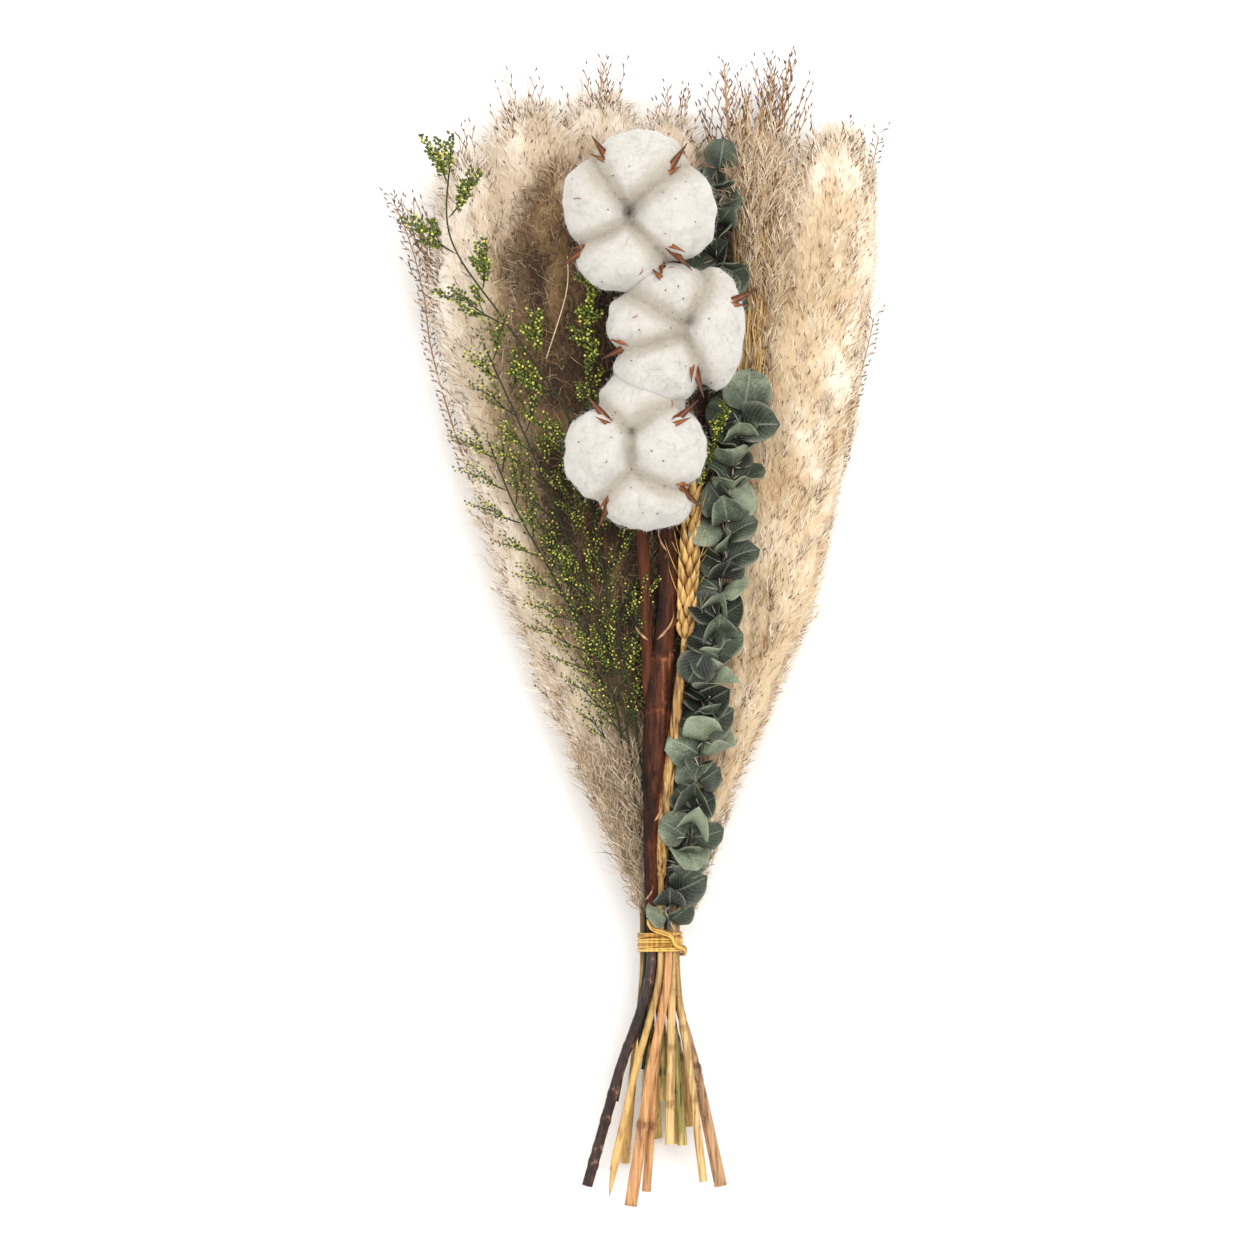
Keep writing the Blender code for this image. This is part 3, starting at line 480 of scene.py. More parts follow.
class Growth:
    """Gathers the closed bodies of one piece, to be made one mesh."""

    def __init__(self):
        self.corners, self.faces, self.slots, self.used = [], [], [], []
        self.values = {"tone": [], "along": [], "across": []}
        self.count = 0

    def add(self, corners, faces, finish, *values):
        """Adds copies of a shape: corners (copies, corners, 3), its faces, and tone, along and across."""
        copies, each = corners.shape[:2]
        starts = self.count + each * np.arange(copies)
        self.corners.append(corners.reshape(-1, 3))
        self.faces.append((faces[None] + starts[:, None, None]).reshape(-1, 3))
        if finish not in self.used:
            self.used.append(finish)
        self.slots.append(np.full(copies * len(faces), self.used.index(finish)))
        for gathered, value in zip(self.values.values(), (*values, 0.0, 0.0)):
            gathered.append(np.broadcast_to(value, (copies, each)).reshape(-1))
        self.count += copies * each

    def bars(self, centres, radii, finish, tone, sides=3, flat=1.0, facing=UP):
        """Adds round bars along one or many centre lines, pointed or cut off at both ends.

        Radii go by station and tones by bar, or either by bar and station, or by side as well."""
        centres = centres.reshape(-1, *centres.shape[-2:])
        steps = centres.shape[1] - 1
        station, side, faces = bar_shape(sides, steps)
        ahead = centres[:, [*range(1, steps + 1), steps]] - centres[:, [0, *range(steps)]]
        ahead = unit(ahead)
        facing = np.asarray(facing, float).reshape(-1, 1, 3)
        wide = unit(np.cross(ahead, facing + 0.001 * ahead[:, :, [1, 2, 0]]))
        high = np.cross(ahead, wide) * flat
        angle = (2 * math.pi * side / sides)[:, None]
        way = np.cos(angle) * wide[:, station] + np.sin(angle) * high[:, station]
        tone = np.asarray(tone, float)
        if tone.ndim < 2:
            tone = np.repeat(tone.reshape(-1, 1), steps + 1, axis=1)
        size, tone = (part[:, station, side] if part.ndim == 3 else part[:, station]
                      for part in (np.atleast_2d(radii), tone))
        inner = (station > 0) & (station < steps)
        corners = centres[:, station] + way * (size * inner)[..., None]
        self.add(corners, faces, finish, tone, station / steps)

    def barbs(self, root, reach, wide, finish, tone, **look):
        """Adds short straight barbs that are pointed at both ends, on the table or above it."""
        lines = on_table(arc(root, root + reach * 0.5, root + reach, 2))
        self.bars(lines, wide * np.array([0.0, 1.0, 0.0]), finish, tone, **look)

    def hairs(self, root, way, size, swing, back, lift, radii, finish, tone, facing):
        """Adds flat hairs that swing aside and come back, on the table or above it."""
        bend = root + way * size * 0.6 + swing * size * 0.5 + UP * lift
        tip = root + way * size * 0.9 - swing * size * back
        lines = on_table(arc(root, bend, tip, len(radii) - 1))
        self.bars(lines, radii, finish, tone, flat=0.6, facing=facing)

    def piece(self, name, slot, *nodes, sharp=None):
        """The finished piece, in metres, standing for its CAD nodes."""
        mesh = bpy.data.meshes.new(name)
        corners, faces, slots = (np.concatenate(part) for part in (self.corners, self.faces, self.slots))
        mesh.from_pydata((corners * MM).tolist(), [], faces.tolist())
        for finish in self.used:
            mesh.materials.append(finishes[finish])
        mesh.polygons.foreach_set("material_index", slots)
        round_shaded = np.array([not finish.startswith("plume") for finish in self.used])
        mesh.polygons.foreach_set("use_smooth", round_shaded[slots])
        for key, values in self.values.items():
            made = mesh.attributes.new(key, "FLOAT", "POINT")
            made.data.foreach_set("value", np.concatenate(values).astype(np.float32))
        if sharp:
            mesh.set_sharp_from_angle(angle=math.radians(sharp))
        obj = shown(name, mesh)
        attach(obj, "root")
        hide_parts(*nodes)


# Plumes: the counts of what a full head has, and its length times its reach
BRANCHLETS = 80
STEMS = 150
HAIRS = 5000
CURLS = 2100
STRANDS = 1500
SEEDS = 1000
FULL_SIZE = 8500.0
BUNDLE_Y = 62.0
STALKED_LEAN = np.array((9.0, 0.0, 5.0))
SPRIG_SEEDS = 9
FLATTENED = 0.55
STILL_ROUND_Y = -35.0
SPREAD = 1.15
# Matted down in the middle of a head: its mesh, how tufted it is, how far its end is hairier,
# and how far out down that counts as slim comes.
DOWN_STEPS = 64
DOWN_SIDES = 24
TUFTS = 0.2
DOWN_DOME = 18.0
SLIM = 0.7
# The inner part of the bunch, where the silk is painted darker, mostly as painted shade and partly as the
# silk's own greyer colour: by Y, its left and right limits and how dark it is.
INNER_SHADE_YS = (-62, -30, -5, 27, 71, 111, 150, 200)
INNER_SHADE = ((-2, -13, -28, -40, -58, -62, -58, -40),
        (12, 20, 30, 37, 42, 42, 40, 30), (0, 0.4, 0.5, 0.48, 0.48, 0.46, 0.36, 0))
INNER_SHADE_SOFT = 12.0
PALE_EDGE = 0.36
# The right edge of the bunch by Y, and how far silk that would pass it is pressed back.
RIGHT_YS = (-120, -77, -29, 3, 51, 83, 115, 150, 180, 205)
RIGHT_EDGE = (22, 37, 57, 71, 80, 88, 91, 95, 96, 91)
PRESSED_IN = 0.65
# Matted silk low down: the stalk that it lies along, its count, its ends in Y, how far right of
# the stalk it starts, how far it reaches from there to the left at either end, and its lean.
COVERS = {"plume_left": ("statice_middle", 1500, (-116, -50), 3, (7, 26), -0.3),
          "plume_right": ("plume_right_edge", 520, (-115, -74), 7, (9, 13), 0.35)}
# A thin straw that lies loose on the grey silk, left of the bolls.
LOOSE_STRAW = [(-26.5, 148, 56), (-25.5, 137, 58), (-30, 122, 58), (-35, 107, 56)]
# Single bare twigs that stand off the edges of the bunch, each as points along it.
BARE_TWIGS = {
    "plume_left_edge": [[(-66, 60, 20), (-73.5, 83, 22), (-78.5, 100, 23), (-82, 114, 24),
                         (-84, 133, 25), (-88, 149, 26), (-92, 161, 27), (-97, 172, 28)]],
    "plume_right_edge": [[(81, 58, 26), (84, 74, 27), (87, 87, 27), (89.5, 98, 27),
                          (93, 110, 27), (96, 124, 27)],
                         [(89, 155, 28), (92, 170, 28), (94, 178, 28), (98, 197, 28)]],
}


def shape_of(name, ys):
    """How far a plume reaches from its axis at these Ys."""
    plume = PLUMES[name]
    share = (ys - plume.head_y) / (courses[name].tip_y - plume.head_y)
    widening = np.minimum(1.0, (np.maximum(share, 0.0) / plume.widest) ** 0.75)
    narrowing = 1.0 - 0.6 * np.clip((share - 0.72) / 0.28, 0.0, 1.0) ** 1.6
    return np.maximum(1.5, plume.reach * widening * narrowing)


def laid(points, axis_z, ys):
    """Presses what stands above a plume's axis down a little, and keeps all of it on the table."""
    points = points.copy()
    rest = np.interp(ys, [STILL_ROUND_Y - 30.0, STILL_ROUND_Y + 20.0], [1.0, FLATTENED])
    z = points[..., 2]
    points[..., 2] = np.where(z > axis_z, axis_z + (z - axis_z) * rest, z)
    return on_table(points)


def painted_inner_shade(points):
    """How much darker the silk is painted at these points in the inner part of the bunch, mostly as shade.
    """
    left, right, dark = (np.interp(points[:, 1], INNER_SHADE_YS, row) for row in INNER_SHADE)
    inward = np.minimum(points[:, 0] - left, right - points[:, 0]) / INNER_SHADE_SOFT
    return dark * np.clip(inward + 0.5, 0.0, 1.0)


def silk_tone(silk, points, out, tufts):
    """The tone of silk at these points: paler at the edges and towards the top, lighter where it faces up,
    which is painted light, and darker inside the bunch, which is painted shade.
    """
    x, y, _ = points.T
    left, right = (courses[f"plume_{side}_edge"].points(y)[:, 0] for side in ("left", "right"))
    outer = np.clip((np.abs(2.0 * x - left - right) / (right - left) - 0.45) / 0.6, 0.0, 1.0)
    high = np.interp(y, [-60.0, 120.0, 200.0], [0.3, 1.0, 1.3])
    pale = PALE_EDGE * (high * outer + 0.75 * np.clip((y - 165.0) / 50.0, 0.0, 1.0))
    # Silk that faces up is painted paler (painted light), and silk inside the bunch darker (painted shade).
    return (0.4 if silk == "plume_gold" else 0.5) + pale - painted_inner_shade(points) + 0.1 * out[:, 2] + 0.3 * tufts


def down_ends(name):
    """The Ys where a head's down starts and ends."""
    start = 61.0 if name == "plume_stalked" else 4.0
    return PLUMES[name].head_y + start, courses[name].tip_y - PLUMES[name].bare_end


def on_down(name, ys, turns):
    """Points on a head's down at these Ys and angles round its axis, the ways out, and its tufts."""
    course = courses[name]
    out = outward(course.headings(ys), turns)
    axis = course.points(ys)
    if name == "plume_stalked":
        axis = axis + STALKED_LEAN * (0.9, 0.0, 0.4)
    around = axis + out * 20.0
    tufts, fringe = (np.array([noise.noise(Vector(spot)) for spot in around * fine])
                     for fine in ((0.11, 0.045, 0.11), (0.3, 0.2, 0.3)))
    low_y, top_y = down_ends(name)
    closed = np.clip((top_y - ys) / 15.0, 0.0, 1.0) * np.clip((ys - low_y) / 12.0, 0.0, 1.0)
    wide = shape_of(name, ys) * (PLUMES[name].down + TUFTS * tufts + 0.1 * fringe) * closed ** 0.5
    return laid(axis + out * wide[:, None], axis[:, 2], ys), out, tufts


def add_down(growth, name):
    """Matted down round the middle of a head."""
    silk = PLUMES[name].silk
    station, side, faces = bar_shape(DOWN_SIDES, DOWN_STEPS)
    ys = np.linspace(*down_ends(name), DOWN_STEPS + 1)[station]
    points, out, tufts = on_down(name, ys, 2 * math.pi * side / DOWN_SIDES)
    # The down is painted a little darker than the hair that lies over it: painted shade under the hair.
    tone = silk_tone(silk, points, out, tufts) - 0.06
    growth.add(points[None], faces, silk.replace("plume", "down"), tone)


def add_branchlets(growth, name, draw, fill):
    """Branchlets whose ends fill the head evenly: their lines, the ways they lie and lean, and end Ys."""
    course, plume, stalked = courses[name], PLUMES[name], name == "plume_stalked"
    count = STEMS if stalked else int(BRANCHLETS * fill)
    levels = np.linspace(plume.head_y + 6.0, course.tip_y, 200)
    weight = np.cumsum(shape_of(name, levels) ** 1.25)
    end_y = np.interp((np.arange(count) + 0.5) / count, weight / weight[-1], levels)
    rise = (16.0 + 1.2 * plume.reach) * draw.uniform(0.6, 1.0, count)
    root_y = np.maximum(end_y - rise, plume.head_y + 1.0)
    if stalked:
        root_y = draw.uniform(BUNDLE_Y, plume.head_y + 12.0, count)
    axis, ends = course.points(root_y), course.points(end_y)
    turn = np.arange(count) * GOLDEN_ANGLE + draw.uniform(-0.3, 0.3, count)
    filled = draw.uniform(0.05, 1.0, count) ** 0.42
    wide = (shape_of(name, end_y) * filled * SPREAD)[:, None]
    out = outward(course.headings(end_y), turn)
    bends = axis + (ends - axis) * 0.6 + out * (wide * (0.12 if stalked else 0.3))
    if stalked:
        out[:, 0] *= np.where(out[:, 0] < 0.0, 0.4, 1.0)
    tips = ends + out * wide
    if stalked:
        lean = draw.uniform(0.7, 1.4, (count, 1)) * STALKED_LEAN
        axis, bends, tips = axis + lean * (0.6, 1.0, 0.1), bends + lean * (0.9, 1.0, 1.4), tips + lean
    tips, bends = laid(tips, axis[:, 2], end_y), laid(bends, axis[:, 2], end_y)
    side = unit(np.cross(tips - axis, scattered(draw, count)))
    zigzag = 0.9 * np.array((0, 0, 0, 1, -1, 1, -1, 0.6))
    lines = on_table(arc(axis, bends, tips, 7) + side[:, None] * zigzag[:, None])
    slimming = (0.55, 0.62, 0.6, 0.5, 0.36) if stalked else (0.3, 0.3, 0.26, 0.24, 0.22)
    growth.bars(lines, (*slimming, 0.2, 0.16, 0.1), "pale_straw" if stalked else "twig",
                0.35 + 0.4 * draw.random(count))
    return lines, unit(tips - axis), out, end_y


def hair_spots(name, draw, branchlets, number_of, chance):
    """Places for hair, on the down and then on the branchlets, the way it lies, and its tone."""
    silk, stalked = PLUMES[name].silk, name == "plume_stalked"
    lines, ways, out, _ = branchlets
    low_y, top_y = down_ends(name)
    levels = np.linspace(low_y, top_y, 200)
    near_end = np.clip(1.0 - (top_y - levels) / DOWN_DOME, 0.0, 1.0)
    weight = np.cumsum(shape_of(name, levels) * (1.0 + 1.3 * near_end))
    matted = int(number_of * (0.5 if PLUMES[name].down < SLIM or stalked else 0.8))
    at = np.interp(draw.random(matted), weight / weight[-1], levels)
    around = draw.uniform(-1.0, 1.0, matted)
    around = math.pi / 2 + math.pi * np.sign(around) * np.abs(around) ** 1.2
    root, way_out, tufts = on_down(name, at, around)
    way = unit(courses[name].headings(at) + way_out * (0.8, 0.8, 0.25))
    tone = silk_tone(silk, root, way_out, tufts)
    loose = number_of - matted
    which = draw.choice(len(lines), loose, p=chance / chance.sum())
    lowest = 0.76 if stalked else 0.35
    share = lowest + (1.0 - lowest) * draw.random(loose)
    whole = np.minimum((share * 7).astype(int), 6)
    near, far = lines[which, whole], lines[which, whole + 1]
    high = near + (far - near) * (share * 7 - whole)[:, None]
    loose_tone = silk_tone(silk, high, out[which], 0.5 * share - 0.2)
    return (np.concatenate([root, high]), np.concatenate([way, ways[which]]),
            np.concatenate([tone, loose_tone]))


def add_silk(growth, name, draw, fill, branchlets):
    """Fine hair, the longer ones curled, and wilder inside the bunch, with seeds that lie on it."""
    plume, (_, _, out, end_y) = PLUMES[name], branchlets
    silk = plume.silk
    upper = 1.0 + 0.7 * out[:, 2]
    hairy = upper * (end_y < down_ends(name)[1] + 14.0)
    for lot, radii, bent, finish in ((CURLS, (0.0, 0.19, 0.15, 0.0), 1.0, silk),
                                     (HAIRS, (0.0, 0.18, 0.0), 0.6, silk),
                                     (STRANDS, (0.0, 0.15, 0.0), 0.8, "seed")):
        hairs = int(lot * fill)
        root, way, tone = hair_spots(name, draw, branchlets, hairs, hairy)
        wild = (0.3 + 0.5 * plume.curl + 1.4 * painted_inner_shade(root))[:, None]
        way = unit(way + wild * scattered(draw, hairs) * (1.0, 1.0, 0.5) + UP * 0.05)
        root = root + scattered(draw, hairs) * draw.uniform(0.0, 1.2, (hairs, 1))
        size = draw.uniform(4.5, 10.5, hairs)[:, None]
        if finish == "seed":
            size, root, tone = size * 0.7, root + UP * 0.7, tone * 0.4 + 0.22
        swing = scattered(draw, hairs) * (0.2 + 0.6 * wild) * bent
        tone = tone + draw.normal(0.04, 0.17, hairs)
        tone = tone[:, None] + np.linspace(-0.08, 0.1, len(radii))
        facing = UP + 0.7 * scattered(draw, hairs)
        growth.hairs(root, way, size, swing, 0.6, 0.6, radii, finish, tone, facing)
    seeds = int(SEEDS * fill)
    root, way, _ = hair_spots(name, draw, branchlets, seeds, upper)
    way = unit(way + 0.4 * scattered(draw, seeds))
    root = root + UP * draw.uniform(0.3, 1.6, (seeds, 1))
    reach = way * draw.uniform(1.2, 2.8, seeds)[:, None]
    pale = 0.4 if silk == "plume_gold" else 0.0
    growth.barbs(root, reach, 0.27, "seed", pale + 0.5 * draw.random(seeds), facing=scattered(draw, seeds))


def make_plume(name, number):
    """A plume head: matted down round its axis and branchlets, with hair and seeds on both."""
    plume = PLUMES[name]
    growth, draw, course = started(number, name)
    fill = plume.fullness * (0.35 + 0.65 * (course.tip_y - plume.head_y) * plume.reach / FULL_SIZE)
    axis = course.points(np.linspace(plume.head_y + GAP / 2, course.tip_y - 1.0, 25))
    growth.bars(axis, np.linspace(1.15, 0.3, 25), "twig", 0.45, sides=5)
    add_down(growth, name)
    add_silk(growth, name, draw, fill, add_branchlets(growth, name, draw, fill))
    if name in COVERS:
        add_cover(growth, plume.silk, draw, *COVERS[name])
    if name == "plume_grey":
        line = smooth_way(LOOSE_STRAW, 3.0)
        growth.bars(line, np.full(len(line), 0.3), "twig", 0.8)
    add_sprigs(growth, name, draw)
    for corners in growth.corners:
        past = corners[:, 0] - np.interp(corners[:, 1], RIGHT_YS, RIGHT_EDGE)
        corners[:, 0] -= PRESSED_IN * np.maximum(past, 0.0)
    add_bare_twigs(growth, name, draw)
    growth.piece(name.replace("plume", "pampas"), plume.silk, name)


def add_cover(growth, silk, draw, along, count, ends, start, reaches, lean):
    """Matted silk low down in the bunch, over the green stems and beside the lowest leaves."""
    ys = draw.uniform(*ends, count)
    root = courses[along].points(ys)
    root[:, 0] += start - draw.random(count) ** 1.3 * np.interp(ys, ends, reaches)
    root[:, 2] += draw.uniform(-1.0, 2.0, count)
    way = unit(np.array((lean, 1.0, 0.0)) + 0.75 * scattered(draw, count) * (1.0, 1.0, 0.4))
    size = draw.uniform(6.0, 12.0, count)[:, None]
    swing = scattered(draw, count) * 0.6
    tone = draw.uniform(0.1, 0.7, count)
    facing = UP + 0.5 * scattered(draw, count)
    growth.hairs(root, way, size, swing, 0.7, 0.0, (0.0, 0.2, 0.16, 0.0), silk, tone, facing)


def add_sprigs(growth, name, draw):
    """Bare ends of branchlets that stand out of the head, zigzag, with a seed at each turn."""
    course, count = courses[name], PLUMES[name].sprigs
    end_y = course.tip_y + draw.uniform(-26.0, 1.0, count)
    ahead = course.headings(end_y)
    turn = draw.uniform(0.0, 2 * math.pi, count)
    wide = shape_of(name, np.minimum(end_y, course.tip_y)) * draw.uniform(0.3, 1.2, count)
    out = outward(ahead, turn) * wide[:, None]
    tips = laid(course.points(end_y) + out, course.points(end_y)[:, 2], end_y)
    roots = course.points(end_y - 34.0) + out * 0.35
    side = outward(ahead, turn + math.pi / 2)
    sides = np.array([(-1.0) ** k for k in range(SPRIG_SEEDS + 1)])
    lines = arc(roots, (roots + tips) / 2 + ahead * 3.0, tips, SPRIG_SEEDS)
    lines = on_table(lines + side[:, None] * (0.7 * sides)[:, None])
    growth.bars(lines, np.linspace(0.36, 0.22, SPRIG_SEEDS + 1), "twig", 0.2 + 0.3 * draw.random(count))
    turned = np.tile(sides[2:], count)[:, None] * np.repeat(side, SPRIG_SEEDS - 1, axis=0)
    way = unit(np.repeat(unit(tips - roots), SPRIG_SEEDS - 1, axis=0) + 0.5 * turned)
    seeds = len(way)
    growth.barbs(lines[:, 2:].reshape(-1, 3), way * draw.uniform(2.2, 3.6, seeds)[:, None], 0.38, "seed",
                 draw.uniform(0.0, 0.7, seeds))


def add_bare_twigs(growth, name, draw):
    """The single twigs of a head, with short side branches and a seed or two on each."""
    for way in BARE_TWIGS.get(name, ()):
        line = smooth_way(way, 2.0)
        growth.bars(line, np.linspace(0.5, 0.25, len(line)), "twig", 0.25)
        root, ahead = line[2:-1], unit(line[3:] - line[1:-2])
        count = len(root)
        side = outward(ahead, np.zeros(count)) * np.where(np.arange(count) % 2, 1.0, -1.0)[:, None]
        tip = root + unit(ahead + 0.6 * side) * draw.uniform(2.0, 5.5, (count, 1))
        growth.bars(arc(root, (root + tip) / 2 + ahead * 0.5, tip, 3), (0.25, 0.22, 0.2, 0.1), "twig", 0.25)
        for share, turned in ((0.5, 1.4), (1.0, 0.3)):
            reach = unit(ahead + turned * side) * draw.uniform(2.0, 3.2, (count, 1))
            growth.barbs(root + (tip - root) * share, reach, 0.38, "seed", draw.uniform(0.0, 0.6, count))


def stalk_line(course, low, high, step):
    """Stations along a stalk with both ends doubled, so that they are cut square, and radii."""
    ys = np.pad(np.linspace(low, high, max(3, round((high - low) / step))), 1, "edge")
    below, above = WAIST[1] - WAIST_GRIP, WAIST[1] + WAIST_GRIP
    radii = np.interp(ys, [course.cut_y, below, above, max(course.bare_y, above + 1.0)],
                      [course.cut_radius, course.waist_radius, course.waist_radius, course.top_radius])
    return course.points(ys), radii


def make_plume_stalk(name, number):
    """A bare straw with a joint or two below the tie, lightly ribbed."""
    growth, draw, course = started(50 + number, name)
    points, radii = stalk_line(course, course.cut_y, course.bare_y, 1.4)
    ys = points[:, 1]
    sides = 10
    size = radii[:, None] * (1.0 + 0.06 * np.cos(np.arange(sides) * 4 * math.pi / 3 + number))
    tone = draw.uniform(0.15, 0.3) + 0.5 * np.clip((WAIST[1] - ys) / (WAIST[1] - course.cut_y), 0.0, 1.0)
    for joint in draw.uniform(course.cut_y + 8, WAIST[1] - 15, 2):
        size *= 1.0 + 0.16 * bell(ys, joint, 1.6)[:, None]
        tone = tone - 0.45 * bell(ys, joint + 1.0, 1.3)
    growth.bars(points, size[None], PLUMES[name].straw, tone[None], sides=sides)
    growth.piece(name.replace("plume", "straw"), "straw", name.replace("plume", "stalk"), sharp=50)


# The branch's radius by its Y, with the swelling under the fork.
BARK_YS = (-223.8, -119, -110, -92, -69, -55, -43, -30, -12, 35, 60, 119, 152)
BARK_RADII = (2.1, 1.9, 2.7, 2.8, 3.5, 4.8, 5.2, 5.3, 4.2, 3.7, 3.3, 2.5, 2.2)
# Scars and knots that swell the branch: their Ys and how much.
SCARS = ((-215, 0.14), (-209, 0.08), (-197, 0.16), (-186, 0.16), (-167, 0.1), (-142, 0.1), (-134, 0.1),
         (-87, 0.03), (-34, 0.06), (-12, 0.12), (18, 0.03))
# Thin pale splinters and curls of bark on the branch, from and to (x, y), and how thick.
SPLINTERS = [((9, -5), (16, 6.4), 0.45), ((5.8, -5.2), (0.4, 0.8), 0.4), ((8, -77.6), (10.8, -68), 0.5),
             ((4.2, -109.2), (7.6, -103), 0.4), ((13.6, 30), (10, 41), 0.35)]


def rough_bark(points, radii, sides, draw):
    """Radii for each station and side of a branch: ribs along it and low lumps."""
    angle = 2 * math.pi * np.arange(sides) / sides
    ribs = 0.05 * np.cos(3 * angle + 0.8)[None] + 0.045 * np.cos(5 * angle + points[:, 1:2] * 0.02)
    lumps = draw.normal(0.0, 0.022, (len(points), sides))
    return radii[:, None] * (1.0 + ribs + lumps)


def blade(segments, outline, fold, thickness):
    """A closed thin blade whose y runs 0 to 1, with how far each corner is across it, from -1 to 1."""
    bm = bmesh.new()
    bmesh.ops.create_grid(bm, x_segments=segments[0], y_segments=segments[1], size=1.0)
    for v in bm.verts:
        along = (v.co.y + 1.0) / 2.0
        v.co = Vector((v.co.x * outline(along), along, fold(v.co.x, along)))
    bmesh.ops.remove_doubles(bm, verts=bm.verts, dist=0.0005)
    bmesh.ops.recalc_face_normals(bm, faces=bm.faces)
    bmesh.ops.solidify(bm, geom=bm.faces, thickness=thickness)
    corners, _, faces = triangles_of(bm)
    edge = np.array([max(outline(min(1.0, max(0.0, along))), 0.01) for along in corners[:, 1]])
    return corners, faces, corners[:, 0] / edge


def under_lint(surface, base, out):
    """A bur valve's middle line, from the bur up to the lint's rim, and the way that it faces."""
    middle = base + UP * BRACT_RISE
    line, face = [base + out * 3.0, base + out * 12.0 + UP * 1.0], [out - UP, out - UP]
    for turn in np.radians(range(-36, 8, 6)):
        way = out * math.cos(turn) + UP * math.sin(turn)
        hit = surface.ray_cast(Vector(middle + way * 60.0), Vector(-way))[0]
        if hit:
            line.append(np.array(hit) + way * 0.8)
            face.append(way)
    return np.array(line), unit(np.array(face))


def over_lint(surface, base, place, aside, size):
    """The middle line of a valve's point, which leaves the lint and bends outwards over it."""
    out = unit(place)
    way = np.array((out[0] * math.cos(aside) - out[1] * math.sin(aside),
                    out[0] * math.sin(aside) + out[1] * math.cos(aside), 0.0))
    root = base + place - out * 10.5
    line = []
    height = base[2] + BRACT_RISE + 6.0
    for share, lift in zip(np.linspace(0.0, 1.0, 7), (-3.2, -1.0, 0.5, 1.4, 2.2, 3.0, 4.2)):
        spot = root + way * size * share
        hit = surface.ray_cast(Vector((spot[0], spot[1], 150.0)), Vector(-UP))[0]
        height = hit.z if hit else height - 1.0
        line.append((spot[0], spot[1], height + lift))
    line = np.array(line)
    evened(line[:, 2], 1)
    return line


def following(corners, line, face, size):
    """A blade's corners laid along a middle line, with its upper side to the face."""
    run = np.concatenate([[0.0], np.cumsum(np.linalg.norm(np.diff(line, axis=0), axis=1))])
    at = np.clip(corners[:, 1], 0.0, 1.0) * run[-1]
    centre, facing, ahead = (np.stack([np.interp(at, run, part[:, k]) for k in range(3)], axis=-1)
                             for part in (line, face, np.gradient(line, axis=0)))
    across = unit(np.cross(unit(ahead), facing))
    return centre + size * (corners[:, :1] * across + corners[:, 2:] * unit(facing))


def bract_outline(along):
    """Half the width of a bract, as a share of its length: broad shoulders and a drawn-out point."""
    return 0.01 + 0.13 * math.sin(math.pi * min(1.0, along * 0.9 + 0.1) ** 0.8) * (1.0 - along) ** 0.45


def bract_fold(across, along):
    return 0.07 * abs(across) * (1.0 - along)


